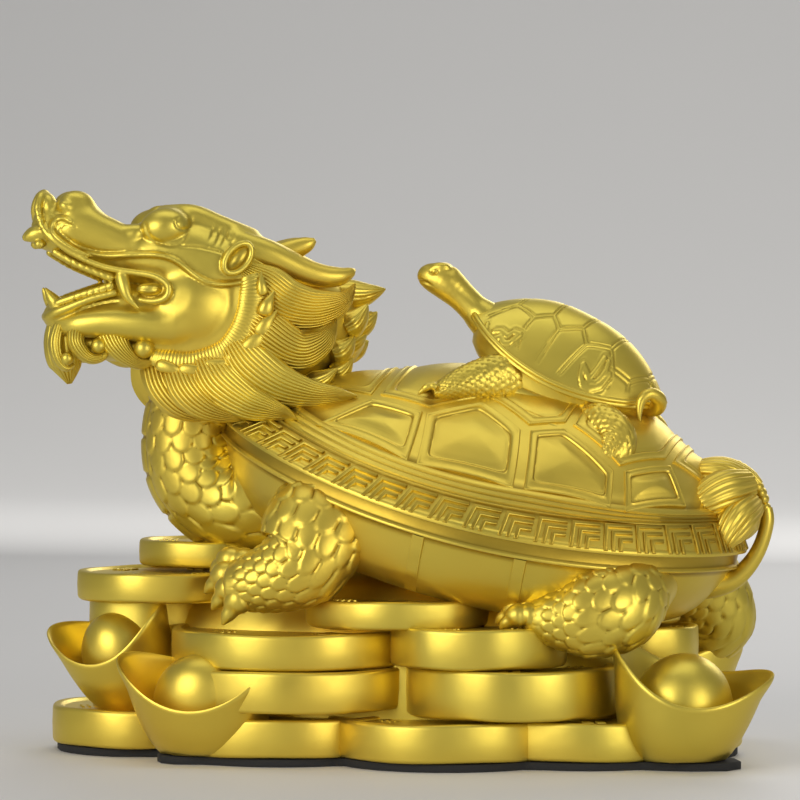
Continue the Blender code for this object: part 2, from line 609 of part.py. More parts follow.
def cast_together(name, forms, group, material):
    """Join the closed forms into one casting, and thin it to the triangle budget.

    The union uses the MANIFOLD solver, because EXACT leaves open edges among this many forms.
    """
    cutters = new_collection(name + "_forms")
    cutters.hide_render = True
    casting = add_object(forms[0], name, group)
    for index, form in enumerate(forms[1:]):
        piece = add_object(form, f"{name}_form_{index:03d}", cutters)
        piece.display_type = "WIRE"
        piece.hide_render = True
    union = casting.modifiers.new("Join", "BOOLEAN")
    union.operation = "UNION"
    union.operand_type = "COLLECTION"
    union.collection = cutters
    union.solver = "MANIFOLD"
    bpy.context.view_layer.update()
    joined = bmesh.new()
    joined.from_mesh(casting.evaluated_get(bpy.context.evaluated_depsgraph_get()).data)
    keep_largest_body(joined)
    bmesh.ops.triangulate(joined, faces=joined.faces)
    mend_slivers(joined)
    triangle_count = len(joined.faces)
    casting.modifiers.remove(union)
    joined.to_mesh(casting.data)
    joined.free()
    thin = casting.modifiers.new("Thin", "DECIMATE")
    thin.ratio = TRIANGLE_BUDGET / triangle_count
    casting.data.materials.append(material)
    return casting


def build_figure(group):
    """The whole casting as one solid."""
    mother = Shell(SHELL_CENTRE, SHELL_HALF_LENGTH, SHELL_HALF_WIDTH, SHELL_DOME, SHELL_TILT,
                   SHELL_DROOP, SHELL_APEX_SHIFT)
    small = Shell(SMALL_CENTRE, SMALL_HALF_LENGTH, SMALL_HALF_WIDTH, SMALL_DOME, SMALL_TILT,
                  SMALL_DROOP, 0.0)
    forms = [shell_body(mother, 1.0, 24.0, 40)]
    for outline in plate_outlines():
        forms.append(plate(mother, outline, 0.012, 1.2, 3.0))
    forms.append(belly_form())
    forms.append(neck_form())
    forms += head_forms()
    forms += mane_forms()
    forms += leg_forms()
    forms += tail_forms()
    forms += small_turtle_forms(small)
    forms += pile_forms()
    return cast_together("figure", forms, group, metal("greenish_gold", GREENISH_GOLD, 0.35, 1.0))


def outline_reach(angle, discs):
    """How far from the middle a ray leaves the outermost of the discs that it meets."""
    way = Vector((math.cos(angle), math.sin(angle)))
    reach = 0.0
    for x, y, radius in discs:
        ahead = way.dot(Vector((x, y)))
        beside = way.cross(Vector((x, y)))
        if abs(beside) < radius:
            reach = max(reach, ahead + math.sqrt(radius * radius - beside * beside))
    return reach


def build_pad(group):
    """The thin pad, a little smaller than the outline of the lowest coins and ingots."""
    discs = [(x, y, radius - PAD_INSET) for x, y, radius in bottom_coins() + ingot_feet()]
    rings = []
    for height in (0.0, PAD_THICKNESS):
        ring = []
        for k in range(PAD_POINTS):
            angle = 2.0 * math.pi * k / PAD_POINTS
            reach = outline_reach(angle, discs)
            ring.append((reach * math.cos(angle), reach * math.sin(angle), height))
        rings.append(ring)
    pad = add_object(skin(rings), "base_pad", group)
    pad.data.materials.append(metal("pad_black", PAD_BLACK, 0.95, 0.0))


def main():
    """Build the part."""
    clear_scene()
    group = new_collection("dragon_turtle")
    build_figure(group)
    build_pad(group)


main()
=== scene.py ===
"""Looks of a cast dragon turtle figure, laid out as an add-on with one operator for each piece.

Sizes below are in millimetres in the figure's own axes: the head looks towards -X and turns a little
towards -Y, and +Z is up. MM turns them into Blender's metres when a piece is finished.
"""

import math

import bmesh
import bpy
import numpy as np
from bpy.props import FloatProperty, FloatVectorProperty, IntProperty, PointerProperty
from bpy.types import Operator, Panel, PropertyGroup
from mathutils import Matrix, Vector


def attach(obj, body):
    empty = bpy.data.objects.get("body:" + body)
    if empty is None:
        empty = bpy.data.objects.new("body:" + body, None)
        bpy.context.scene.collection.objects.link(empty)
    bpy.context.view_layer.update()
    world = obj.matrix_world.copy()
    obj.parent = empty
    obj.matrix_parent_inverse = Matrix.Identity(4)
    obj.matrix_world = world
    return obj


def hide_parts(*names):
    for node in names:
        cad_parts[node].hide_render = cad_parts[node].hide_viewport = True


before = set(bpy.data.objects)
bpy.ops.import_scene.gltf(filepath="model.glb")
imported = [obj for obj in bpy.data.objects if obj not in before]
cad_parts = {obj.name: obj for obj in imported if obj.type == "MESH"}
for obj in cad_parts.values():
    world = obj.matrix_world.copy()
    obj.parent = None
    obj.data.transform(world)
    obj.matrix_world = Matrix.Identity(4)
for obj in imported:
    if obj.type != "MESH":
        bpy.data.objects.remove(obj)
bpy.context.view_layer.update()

bl_info = {
    "name": "Dragon Turtle Casting",
    "version": (1, 0, 0),
    "blender": (4, 5, 0),
    "location": "3D View > Sidebar > Dragon Turtle",
    "description": "Models a cast dragon turtle on a heap of coins, with its satin gold finish",
    "category": "Object",
}

MM = 0.001
TAU = 2.0 * math.pi

# The heap's underside on the pad, and the middle of the footprint
FLOOR = 3.1
FOOTPRINT_CENTRE = Vector((2.5, 1.0, 0.0))

# The mother's shell
SHELL_CENTRE = (27.5, 0.0, 94.6)
SHELL_HALF_LENGTH = 95.0
SHELL_HALF_WIDTH = 66.0
SHELL_DOME = 40.0
SHELL_TILT = math.radians(14.5)
SHELL_DROOP = 12.0
SHELL_APEX_SHIFT = 12.0

# The small turtle's shell
SMALL_CENTRE = (57.5, 0.0, 137.6)
SMALL_HALF_LENGTH = 37.6
SMALL_HALF_WIDTH = 23.4
SMALL_DOME = 16.5
SMALL_TILT = math.radians(26.0)
SMALL_DROOP = 9.2
SMALL_APEX_SHIFT = -2.8

# The mother's head: the point under its pivot, and how far it turns towards the viewer
HEAD_PIVOT = np.array((-55.0, 0.0, 0.0))
HEAD_TURN = math.radians(21.0)

# The photograph's camera, from a point in front of the figure's middle
CAMERA_TURN = math.radians(10.0)
CAMERA_DISTANCE = 1600.0
CAMERA_HEIGHT = 165.0
CAMERA_AIM = Vector((-1.8, 0.0, 122.5))
SENSOR = 36.0
VIEW_WIDTH = 279.2

# The floor that curves up into a wall, in metres
FLOOR_WIDTH = 9.0
FLOOR_RUN = 6.0
FLOOR_FRONT = 1.6
WALL_START = 3.4
WALL_BEND = 2.2


class CastingSizes(PropertyGroup):
    """Sizes of the relief that a user may want to change."""

    scale_columns: IntProperty(name="Scale columns", description="Scales around the neck", default=15, min=6)
    scale_rise: FloatProperty(name="Scale rise", description="How far a scale's tip stands out, in mm",
                              default=1.0, min=0.0)
    plate_frame: FloatProperty(name="Plate frame", description="Width of a shell plate's flat frame, in mm",
                               default=2.5, min=0.5)
    plate_rise: FloatProperty(name="Plate rise", description="Height of a shell plate over its joint, in mm",
                              default=0.55, min=0.0)
    fret_units: IntProperty(name="Fret units", description="Fret figures around the shell's band",
                            default=42, min=8)
    fret_rise: FloatProperty(name="Fret rise", description="Height of the fret's bars, in mm", default=0.8,
                             min=0.0)
    hair_rise: FloatProperty(name="Hair rise", description="Height of a strand of the mane, in mm",
                             default=0.62, min=0.0)
    coin_rim: FloatProperty(name="Coin rim", description="Width of a coin's rim, in mm", default=3.2,
                            min=0.5)
    coin_recess: FloatProperty(name="Coin recess", description="Depth of a coin's face under its rim, in mm",
                               default=1.0, min=0.0)


class CastingFinish(PropertyGroup):
    """Colours and gloss of the gold and of the pad, and the colour of the painted shade in the grooves."""

    gold: FloatVectorProperty(name="Gold", description="Colour of the raised gold", subtype="COLOR", size=4,
                              min=0.0, max=1.0, default=(0.80, 0.59, 0.085, 1.0))
    green_gold: FloatVectorProperty(name="Green gold", description="Cooler gold that the finish drifts to",
                                    subtype="COLOR", size=4, min=0.0, max=1.0,
                                    default=(0.72, 0.575, 0.09, 1.0))
    # Painted shade: this colour darkens the gold in the grooves, where shade falls.
    groove_shade: FloatVectorProperty(name="Recess", description="Deeper gold in the grooves", subtype="COLOR",
                                size=4, min=0.0, max=1.0, default=(0.42, 0.28, 0.03, 1.0))
    roughness: FloatProperty(name="Roughness", description="Gloss of the satin gold", subtype="FACTOR",
                             default=0.40, min=0.0, max=1.0)
    pad: FloatVectorProperty(name="Pad", description="Colour of the pad under the heap", subtype="COLOR",
                             size=4, min=0.0, max=1.0, default=(0.012, 0.012, 0.012, 1.0))


class StudioLight(PropertyGroup):
    """The floor and the lights around the figure."""

    floor: FloatVectorProperty(name="Floor", description="Colour of the floor and the wall behind it",
                               subtype="COLOR", size=4, min=0.0, max=1.0, default=(0.74, 0.725, 0.70, 1.0))
    world_strength: FloatProperty(name="Room light", description="Strength of the light from all round",
                                  default=0.28, min=0.0)
    key_power: FloatProperty(name="Key power", description="Power of the large light over the head's side",
                             unit="POWER", default=11.5, min=0.0)
    fill_power: FloatProperty(name="Fill power", description="Power of the light on the tail's side",
                              unit="POWER", default=7.0, min=0.0)
    top_power: FloatProperty(name="Top power", description="Power of the light overhead", unit="POWER",
                             default=3.0, min=0.0)


def smooth_rows(rows, count):
    """Read count rows of numbers from the smooth curve through the given rows."""
    knots = np.asarray(rows, float)
    last = len(knots) - 1
    place = np.linspace(0.0, last, count)
    index = np.minimum(place.astype(int), last - 1)
    t = (place - index)[:, None]
    before = knots[np.maximum(index - 1, 0)]
    start = knots[index]
    end = knots[index + 1]
    after = knots[np.minimum(index + 2, last)]
    bend = (2.0 * before - 5.0 * start + 4.0 * end - after) * t * t
    bend += (3.0 * (start - end) + after - before) * t ** 3
    return 0.5 * (2.0 * start + (end - before) * t + bend)


def unit(vectors):
    """The vectors, each scaled to length one."""
    return vectors / np.maximum(np.linalg.norm(vectors, axis=-1, keepdims=True), 1e-9)


def ease(low, high, value):
    """A smooth step from 0 at low to 1 at high."""
    t = np.clip((value - low) / (high - low), 0.0, 1.0)
    return t * t * (3.0 - 2.0 * t)


def grid_form(columns, rows, place, weld=0.002):
    """A closed form: a grid of faces whose corners place(u, v) moves onto a surface.

    u and v run from 0 to 1. Corners that meet are welded, and the openings left are filled.
    """
    bm = bmesh.new()
    bmesh.ops.create_grid(bm, x_segments=columns, y_segments=rows, size=0.5)
    flat = np.array([vert.co for vert in bm.verts])
    points = place(flat[:, 0] + 0.5, flat[:, 1] + 0.5)
    for vert, point in zip(bm.verts, points):
        vert.co = point
    bmesh.ops.remove_doubles(bm, verts=bm.verts, dist=weld)
    rim = [edge for edge in bm.edges if edge.is_boundary]
    if rim:
        caps = bmesh.ops.holes_fill(bm, edges=rim, sides=0)["faces"]
        bmesh.ops.triangulate(bm, faces=caps)
    bmesh.ops.recalc_face_normals(bm, faces=bm.faces)
    return bm


def ball(centre, half_sizes, segments, rings):
    """An ellipsoid."""
    bm = bmesh.new()
    bmesh.ops.create_uvsphere(bm, u_segments=segments, v_segments=rings, radius=1.0)
    place = Matrix.Translation(centre) @ Matrix.Diagonal((*half_sizes, 1.0))
    bmesh.ops.transform(bm, matrix=place, verts=bm.verts)
    return bm


def move_points(bm, mover):
    """Move every corner of a form with a function of an array of points."""
    points = mover(np.array([vert.co for vert in bm.verts]))
    for vert, point in zip(bm.verts, points):
        vert.co = point
    return bm


def gather(forms):
    """One bmesh that holds all the given ones, which are freed."""
    whole = bmesh.new()
    for form in forms:
        mesh = bpy.data.meshes.new("form")
        form.to_mesh(mesh)
        form.free()
        whole.from_mesh(mesh)
        bpy.data.meshes.remove(mesh)
    return whole


def with_modifier(bm, kind, **values):
    """The form after one modifier with the given values."""
    mesh = bpy.data.meshes.new("form")
    bm.to_mesh(mesh)
    bm.free()
    thing = bpy.data.objects.new("form", mesh)
    bpy.context.scene.collection.objects.link(thing)
    modifier = thing.modifiers.new(kind.title(), kind)
    for key, value in values.items():
        setattr(modifier, key, value)
    bpy.context.view_layer.update()
    evaluated = thing.evaluated_get(bpy.context.evaluated_depsgraph_get())
    result = bmesh.new()
    result.from_mesh(evaluated.to_mesh())
    evaluated.to_mesh_clear()
    bpy.data.objects.remove(thing, do_unlink=True)
    bpy.data.meshes.remove(mesh)
    return result


def thinned(bm, triangles):
    """The form with about the given number of triangles, kept where the surface bends."""
    bmesh.ops.triangulate(bm, faces=bm.faces)
    if len(bm.faces) <= triangles:
        return bm
    return with_modifier(bm, "DECIMATE", ratio=triangles / len(bm.faces))


def mark_groove_shade(mesh, spread, depth):
    """Store how deep each corner lies: 0 on a crest, 0.5 on level skin and 1 in a groove; the material
    paints shade into the grooves from it.
    """
    count = len(mesh.vertices)
    points = np.empty(count * 3)
    mesh.vertices.foreach_get("co", points)
    points = points.reshape(-1, 3)
    normals = np.empty(count * 3)
    mesh.vertices.foreach_get("normal", normals)
    normals = normals.reshape(-1, 3)
    ends = np.empty(len(mesh.edges) * 2, dtype=np.int64)
    mesh.edges.foreach_get("vertices", ends)
    one, other = ends.reshape(-1, 2).T
    links = np.maximum(np.bincount(one, minlength=count) + np.bincount(other, minlength=count), 1)
    calm = points.copy()
    for _ in range(spread):
        for axis in range(3):
            total = np.bincount(one, calm[other, axis], count) + np.bincount(other, calm[one, axis], count)
            calm[:, axis] = total / links
    rise = np.einsum("ij,ij->i", calm - points, normals) / (depth * MM)
    groove_shade = np.clip(0.5 + 0.5 * rise, 0.0, 1.0)
    mesh.attributes.new("groove_shade", "FLOAT", "POINT").data.foreach_set("value", groove_shade.astype(np.float32))


def finish_piece(bm, name, material, slot, node, spread=14, depth=0.5, crease=60.0):
    """Turn a form in millimetres into a finished object that rides with the figure."""
    bmesh.ops.translate(bm, verts=bm.verts, vec=-FOOTPRINT_CENTRE)
    bmesh.ops.scale(bm, verts=bm.verts, vec=(MM, MM, MM))
    mesh = bpy.data.meshes.new(name)
    bm.to_mesh(mesh)
    bm.free()
    mesh.shade_smooth()
    mesh.set_sharp_from_angle(angle=math.radians(crease))
    # The groove marks drive the painted shade in the gold material.
    mark_groove_shade(mesh, spread, depth)
    mesh.materials.append(material)
    piece = bpy.data.objects.new(name, mesh)
    bpy.context.scene.collection.objects.link(piece)
    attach(piece, "root")
    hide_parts(node)
    return piece


def gold_piece(forms, name, triangles=None, **options):
    """Finish a list of forms as one piece of the gold casting."""
    whole = gather(forms)
    if triangles:
        whole = thinned(whole, triangles)
    return finish_piece(whole, name, gold_material(), "gold", "figure", **options)


class NodeSheet:
    """Short calls for laying out a shader's nodes."""

    def __init__(self, material):
        material.use_nodes = True
        self.tree = material.node_tree
        self.shader = self.tree.nodes["Principled BSDF"]

    def add(self, kind, **values):
        """A new node; values set its settings, or the defaults of its sockets."""
        node = self.tree.nodes.new(kind)
        for key, value in values.items():
            if hasattr(node, key):
                setattr(node, key, value)
            else:
                node.inputs[key.replace("_", " ")].default_value = value
        return node

    def link(self, start, end):
        """Join an output socket to an input socket."""
        self.tree.links.new(start, end)

    def noise(self, coordinates, scale, detail, roughness=0.5):
        """A noise pattern on the object's own coordinates."""
        node = self.add("ShaderNodeTexNoise", Scale=scale, Detail=detail, Roughness=roughness)
        self.link(coordinates, node.inputs["Vector"])
        return node.outputs["Fac"]

    def map_range(self, value, low, high, to_low, to_high):
        """The value carried from one range to another, and clamped."""
        node = self.add("ShaderNodeMapRange")
        self.link(value, node.inputs["Value"])
        for key, number in (("From Min", low), ("From Max", high), ("To Min", to_low), ("To Max", to_high)):
            node.inputs[key].default_value = number
        return node.outputs["Result"]

    def mix(self, share, first, second):
        """A mix of two colours; a colour is a socket or a plain value."""
        node = self.tree.nodes.new("ShaderNodeMix")
        node.data_type = "RGBA"
        self.link(share, node.inputs[0])
        for socket, colour in ((node.inputs[6], first), (node.inputs[7], second)):
            if isinstance(colour, bpy.types.NodeSocket):
                self.link(colour, socket)
            else:
                socket.default_value = colour
        return node.outputs[2]


def gold_material():
    """Satin gold: sprayed metal that drifts between two golds, darkened in the grooves with painted shade.
    """
    if "satin_gold" in bpy.data.materials:
        return bpy.data.materials["satin_gold"]
    finish = bpy.context.scene.casting_finish
    material = bpy.data.materials.new("satin_gold")
    sheet = NodeSheet(material)
    shader = sheet.shader
    shader.inputs["Metallic"].default_value = 0.94
    shader.inputs["Specular IOR Level"].default_value = 0.5
    coordinates = sheet.add("ShaderNodeTexCoord").outputs["Object"]
    drift = sheet.noise(coordinates, 16.0, 2.0)
    cloud = sheet.map_range(drift, 0.35, 0.65, 0.0, 1.0)
    body = sheet.mix(cloud, tuple(finish.gold), tuple(finish.green_gold))
    # Painted shade: grooves found from the mesh are mixed towards the darker groove colour.
    groove_shade = sheet.add("ShaderNodeAttribute", attribute_name="groove_shade").outputs["Fac"]
    deep = sheet.map_range(groove_shade, 0.56, 0.95, 0.0, 0.85)
    sheet.link(sheet.mix(deep, body, tuple(finish.groove_shade)), shader.inputs["Base Color"])
    patches = sheet.noise(coordinates, 55.0, 4.0, 0.6)
    satin = sheet.map_range(patches, 0.3, 0.7, finish.roughness - 0.05, finish.roughness + 0.07)
    sheet.link(satin, shader.inputs["Roughness"])
    grain = sheet.noise(coordinates, 900.0, 3.0, 0.7)
    waves = sheet.noise(coordinates, 70.0, 2.0)
    bump = sheet.add("ShaderNodeBump", Strength=0.05, Distance=0.0004)
    soft = sheet.add("ShaderNodeBump", Strength=0.12, Distance=0.0015)
    sheet.link(grain, bump.inputs["Height"])
    sheet.link(waves, soft.inputs["Height"])
    sheet.link(soft.outputs["Normal"], bump.inputs["Normal"])
    sheet.link(bump.outputs["Normal"], shader.inputs["Normal"])
    return material


def pad_material():
    """Matt black sheet with a fine nap."""
    material = bpy.data.materials.new("matt_pad")
    sheet = NodeSheet(material)
    colour = bpy.context.scene.casting_finish.pad
    coordinates = sheet.add("ShaderNodeTexCoord").outputs["Object"]
    nap = sheet.noise(coordinates, 1400.0, 3.0, 0.7)
    lighter = tuple(2.2 * channel for channel in colour[:3]) + (1.0,)
    sheet.link(sheet.mix(nap, tuple(colour), lighter), sheet.shader.inputs["Base Color"])
    sheet.link(sheet.map_range(nap, 0.3, 0.7, 0.8, 0.98), sheet.shader.inputs["Roughness"])
    bump = sheet.add("ShaderNodeBump", Strength=0.3, Distance=0.0003)
    sheet.link(nap, bump.inputs["Height"])
    sheet.link(bump.outputs["Normal"], sheet.shader.inputs["Normal"])
    return material


class Dome:
    """The surface of a domed shell, addressed by x and y from -1 to 1 along and across it."""

    def __init__(self, centre, half_length, half_width, rise, tilt, droop, apex_shift):
        self.centre = np.array(centre)
        self.half_length = half_length
        self.half_width = half_width
        self.rise = rise
        self.droop = droop
        self.apex_shift = apex_shift
        self.turn = np.array(Matrix.Rotation(tilt, 3, "Y"))

    def bare(self, x, y):
        """The dome's own surface; it is fuller towards the tail."""
        radius = np.minimum(np.hypot(x, y), 1.0)
        along = x / np.maximum(np.hypot(x, y), 1e-6)
        power = 1.85 + 0.6 * along * along + 0.4 * along
        height = self.rise * (1.0 - radius ** power) - self.droop * y * y
        inward = 1.0 - radius ** 2
        return np.stack((self.half_length * x + self.apex_shift * inward, self.half_width * y, height), -1)

    def points(self, x, y, lift):
        """Points over x and y, raised square to the surface."""
        step = 0.004
        calm = np.where(np.hypot(x, y) > 0.99, 0.99 / np.maximum(np.hypot(x, y), 1e-6), 1.0)
        cx = x * calm
        cy = y * calm
        along = self.bare(cx + step, cy) - self.bare(cx - step, cy)
        across = self.bare(cx, cy + step) - self.bare(cx, cy - step)
        normal = unit(np.cross(along, across))
        local = self.bare(x, y) + normal * np.asarray(lift)[..., None]
        return local @ self.turn.T + self.centre

    def beneath(self, x, y, depth):
        """Points under the rim's level, depth below it."""
        local = np.stack((self.half_length * x, self.half_width * y, -self.droop * y * y - depth), -1)
        return local @ self.turn.T + self.centre


def mother_dome():
    """The big shell."""
    return Dome(SHELL_CENTRE, SHELL_HALF_LENGTH, SHELL_HALF_WIDTH, SHELL_DOME, SHELL_TILT, SHELL_DROOP,
                SHELL_APEX_SHIFT)


def small_dome():
    """The small turtle's shell."""
    return Dome(SMALL_CENTRE, SMALL_HALF_LENGTH, SMALL_HALF_WIDTH, SMALL_DOME, SMALL_TILT, SMALL_DROOP,
                SMALL_APEX_SHIFT)


def read_profile(rows, v):
    """Numbers from a list of rows at v from 0 to 1, with straight lines between the rows."""
    table = np.asarray(rows, float)
    places = np.linspace(0.0, 1.0, len(table))
    return [np.interp(v, places, table[:, column]) for column in range(table.shape[1])]


def dome_skin(dome, profile, columns):
    """The top of a shell from its apex outwards; a profile row is radius, lift, and tail-end widening."""
    def place(u, v):
        radius, lift, widen = read_profile(profile, v)
        angle = TAU * u
        reach = radius + widen * ease(0.2, 1.0, np.cos(angle))
        return dome.points(reach * np.cos(angle), reach * np.sin(angle), lift)
    return place, columns, len(profile) - 1


def shell_plates():
    """The plates' outlines in the dome's x and y: five along the back and four on each side."""
    sides = [[(-0.619, 0.587), (-0.486, 0.438), (-0.299, 0.532), (-0.239, 0.799)],
             [(-0.207, 0.808), (-0.285, 0.543), (-0.129, 0.428), (0.055, 0.556), (0.153, 0.817)],
             [(0.187, 0.807), (0.087, 0.55), (0.199, 0.482), (0.44, 0.564), (0.504, 0.701)],
             [(0.556, 0.675), (0.475, 0.537), (0.612, 0.335), (0.742, 0.425)]]
    back = [[(-0.80, 0.18), (-0.505, 0.405)], [(-0.478, 0.405), (-0.29, 0.50), (-0.142, 0.392)],
            [(-0.112, 0.392), (0.07, 0.52), (0.186, 0.448)], [(0.214, 0.448), (0.45, 0.53), (0.585, 0.325)],
            [(0.612, 0.3), (0.80, 0.17)]]
    plates = [[(x, -y) for x, y in half] + list(reversed(half)) for half in back]
    for side in (-1.0, 1.0):
        plates += [[(x, y * side) for x, y in corners] for corners in sides]
    return plates


def inset_corners(corners, distance):
    """A polygon's corners moved inwards so that every edge moves by the distance."""
    points = np.asarray(corners, float)
    ahead = unit(np.roll(points, -1, 0) - points)
    area = np.sum(points[:, 0] * np.roll(points[:, 1], -1) - np.roll(points[:, 0], -1) * points[:, 1])
    spin = 1.0 if area > 0 else -1.0
    inward = np.stack((-ahead[:, 1], ahead[:, 0]), -1) * spin
    inward_behind = np.roll(inward, 1, 0)
    corner = inward + inward_behind
    share = np.sum(corner * inward, 1)
    return points + corner * (distance / np.maximum(share, 0.35))[:, None]


def plate_form(dome, corners, profile, per_edge):
    """One plate: rings drawn in from its outline by the profile's distance, each at its own lift."""
    sizes = np.array((dome.half_length, dome.half_width))
    outline = np.asarray(corners) * sizes
    middle = outline.mean(0)
    ends = np.roll(outline, -1, 0) - outline
    reach = np.abs(ends[:, 0] * (middle - outline)[:, 1] - ends[:, 1] * (middle - outline)[:, 0])
    shrink = min(1.0, 0.6 * (reach / np.linalg.norm(ends, axis=1)).min() / profile[-1][0])
    rings = []
    for distance, lift, rounding in profile:
        ring_corners = inset_corners(outline, distance * shrink)
        count = len(ring_corners)
        ring = []
        for index in range(count):
            share = np.linspace(0.0, 1.0, per_edge, endpoint=False)[:, None]
            ring.append(ring_corners[index] * (1.0 - share) + ring_corners[(index + 1) % count] * share)
        ring = np.concatenate(ring)
        for _ in range(int(rounding)):
            ring = 0.5 * ring + 0.25 * (np.roll(ring, 1, 0) + np.roll(ring, -1, 0))
        rings.append(np.column_stack((ring, np.full(len(ring), lift))))
    inner = rings[-1]
    crown = profile[-1][1]
    for share in (0.8, 0.6, 0.42, 0.26, 0.12, 0.0):
        ring = inner.copy()
        ring[:, :2] = middle + (inner[:, :2] - middle) * share
        ring[:, 2] = crown + 0.9 * (1.0 - share * share)
        rings.append(ring)
    table = np.array(rings)
    closed = np.concatenate((table, table[:, :1]), 1)

    def place(u, v):
        row = np.rint(v * (len(closed) - 1)).astype(int)
        column = np.rint(u * (closed.shape[1] - 1)).astype(int)
        picked = closed[row, column]
        return dome.points(picked[:, 0] / sizes[0], picked[:, 1] / sizes[1], picked[:, 2])

    return grid_form(closed.shape[1] - 1, len(closed) - 1, place)


def mother_plates(dome):
    """All the plates of the big shell, each a flat frame with a groove inside and a soft middle."""
    sizes = bpy.context.scene.casting_sizes
    top = sizes.plate_rise
    wide = sizes.plate_frame
    profile = [(0.0, -2.0, 0), (0.02, -0.3, 0), (0.22, top * 0.8, 0), (0.45, top, 0), (0.85, top * 0.62, 0),
               (wide * 0.6, top * 0.62, 0), (wide, top * 0.66, 1), (wide + 0.15, top * 0.9, 1),
               (wide + 0.4, top * 0.6, 2), (wide + 0.6, -0.12, 2), (wide + 1.0, -0.16, 3),
               (wide + 1.6, 0.06, 4),
               (wide + 2.6, 0.2, 6)]
    return [plate_form(dome, corners, profile, 14) for corners in shell_plates()]


def band_table(dome, radius):
    """Arc length round the dome at a radius, and its angles, for an even pitch."""
    angles = np.linspace(0.0, TAU, 1441)
    ring = dome.points(radius * np.cos(angles), radius * np.sin(angles), np.zeros_like(angles))
    lengths = np.concatenate(([0.0], np.cumsum(np.linalg.norm(np.diff(ring, axis=0), axis=1))))
    return lengths, angles


def fret_bar(start, along, down, width, rise):
    """One bar bent square: an arm along and an arm down from its corner, with eased edges."""
    corners = [(start, start), (along, start), (along, start + width), (start + width, start + width),
               (start + width, down), (start, down)]
    bm = bmesh.new()
    face = bm.faces.new([bm.verts.new((x, y, -0.8)) for x, y in corners])
    top = bmesh.ops.extrude_face_region(bm, geom=[face])["geom"]
    lifted = [item for item in top if isinstance(item, bmesh.types.BMVert)]
    bmesh.ops.translate(bm, verts=lifted, vec=(0.0, 0.0, rise + 0.8))
    lid = [item for item in top if isinstance(item, bmesh.types.BMFace)]
    rim = {edge for item in lid for edge in item.edges}
    bmesh.ops.bevel(bm, geom=list(rim), offset=0.28, segments=2, profile=0.5, affect="EDGES", material=-1)
    bmesh.ops.triangulate(bm, faces=bm.faces)
    bmesh.ops.recalc_face_normals(bm, faces=bm.faces)
    return bm


def fret_forms(dome):
    """The fret round the shell's band: figures of three nested bars, all turned the same way."""
    sizes = bpy.context.scene.casting_sizes
    lengths, angles = band_table(dome, 0.945)
    pitch = lengths[-1] / sizes.fret_units
    top_radius = 0.912
    low_radius = 0.996
    reach = 10.3
    bars = gather([fret_bar(step * 2.6, 0.87 * pitch, reach, 1.3, sizes.fret_rise)
                   for step in range(3)])
    pattern = bpy.data.meshes.new("fret")
    bars.to_mesh(pattern)
    bars.free()
    forms = []
    for index in range(sizes.fret_units):
        figure = bmesh.new()
        figure.from_mesh(pattern)

        def place(points, first=index * pitch):
            angle = np.interp(first + points[:, 0], lengths, angles)
            radius = top_radius + (low_radius - top_radius) * points[:, 1] / reach
            return dome.points(radius * np.cos(angle), radius * np.sin(angle), points[:, 2])

        forms.append(move_points(figure, place))
    bpy.data.meshes.remove(pattern)
    return forms


def shell_wall(dome, profile, columns):
    """The rim's underside, the bead under it and the wall down to the plastron."""
    def place(u, v):
        radius, depth = read_profile(profile, v)
        angle = TAU * u
        return dome.beneath(radius * np.cos(angle), radius * np.sin(angle), depth)
    return grid_form(columns, len(profile) - 1, place)


def wall_strip(dome, along, width, side):
    """A low upright strip on the wall between the legs, whose two edges show as lines."""
    def place(u, v):
        x = along + (u - 0.5) * width
        lift = np.where((u > 0.01) & (u < 0.99), 0.7, -0.8)
        radius = np.interp(v, (0.0, 0.3, 0.65, 1.0), (0.968, 0.938, 0.88, 0.78)) + lift / SHELL_HALF_WIDTH
        depth = np.interp(v, (0.0, 0.3, 0.65, 1.0), (6.9, 13.5, 22.2, 30.5))
        cross = side * np.sqrt(np.maximum(radius ** 2 - x * x, 0.0))
        return dome.beneath(x, cross, depth)
    return grid_form(12, 12, place)


def groove_rows(centre, half, depth, base, widen):
    """Four profile rows that cut one groove round a shell."""
    return [(centre - half * 1.8, base, widen), (centre - half * 0.6, base - depth, widen),
            (centre + half * 0.6, base - depth, widen), (centre + half * 1.8, base, widen)]


class DRAGON_OT_shell(Operator):
    """Model the mother's shell with its plates, grooves and fret band"""

    bl_idname = "dragon.shell"
    bl_label = "Mother's shell"

    def execute(self, context):
        dome = mother_dome()
        profile = [(step * 0.08, -0.12, 0.0) for step in range(10)]
        profile += [(0.78, -0.12, 0.02), (0.822, -0.1, 0.04), (0.827, 0.45, 0.04)]
        for centre in (0.847, 0.869, 0.891):
            profile += groove_rows(centre, 0.0034, 0.6, 0.45, 0.04 * (0.92 - centre) / 0.07)
        profile += [(0.899, 0.5, 0.012), (0.904, -0.25, 0.006), (0.945, -0.1, 0.0), (0.99, -0.1, 0.0),
                    (0.998, -0.1, 0.0), (1.0, -0.5, 0.0)]
        place, columns, rows = dome_skin(dome, profile, 360)
        top = grid_form(columns, rows, place)
        wall = [(0.6, -4.0), (0.985, -1.6), (0.997, -1.0), (1.0, -0.2), (0.998, 0.5), (0.985, 0.9),
                (0.974, 1.3),
                (0.972, 2.2), (0.973, 4.4), (0.976, 5.0), (0.984, 5.3), (0.988, 5.8), (0.985, 6.4),
                (0.973, 6.8),
                (0.966, 7.3), (0.955, 9.5), (0.935, 14.0), (0.908, 18.5), (0.875, 23.0), (0.83, 27.5),
                (0.77, 31.0), (0.68, 33.5), (0.5, 35.0), (0.0, 36.0)]
        forms = [top, shell_wall(dome, wall, 240)]
        for side in (-1.0, 1.0):
            for along in (-0.078, 0.29):
                forms.append(wall_strip(dome, along, 0.05, side))
        forms += mother_plates(dome)
        forms += fret_forms(dome)
        gold_piece(forms, "mother_shell", spread=6, depth=0.35, crease=50.0)
        return {"FINISHED"}


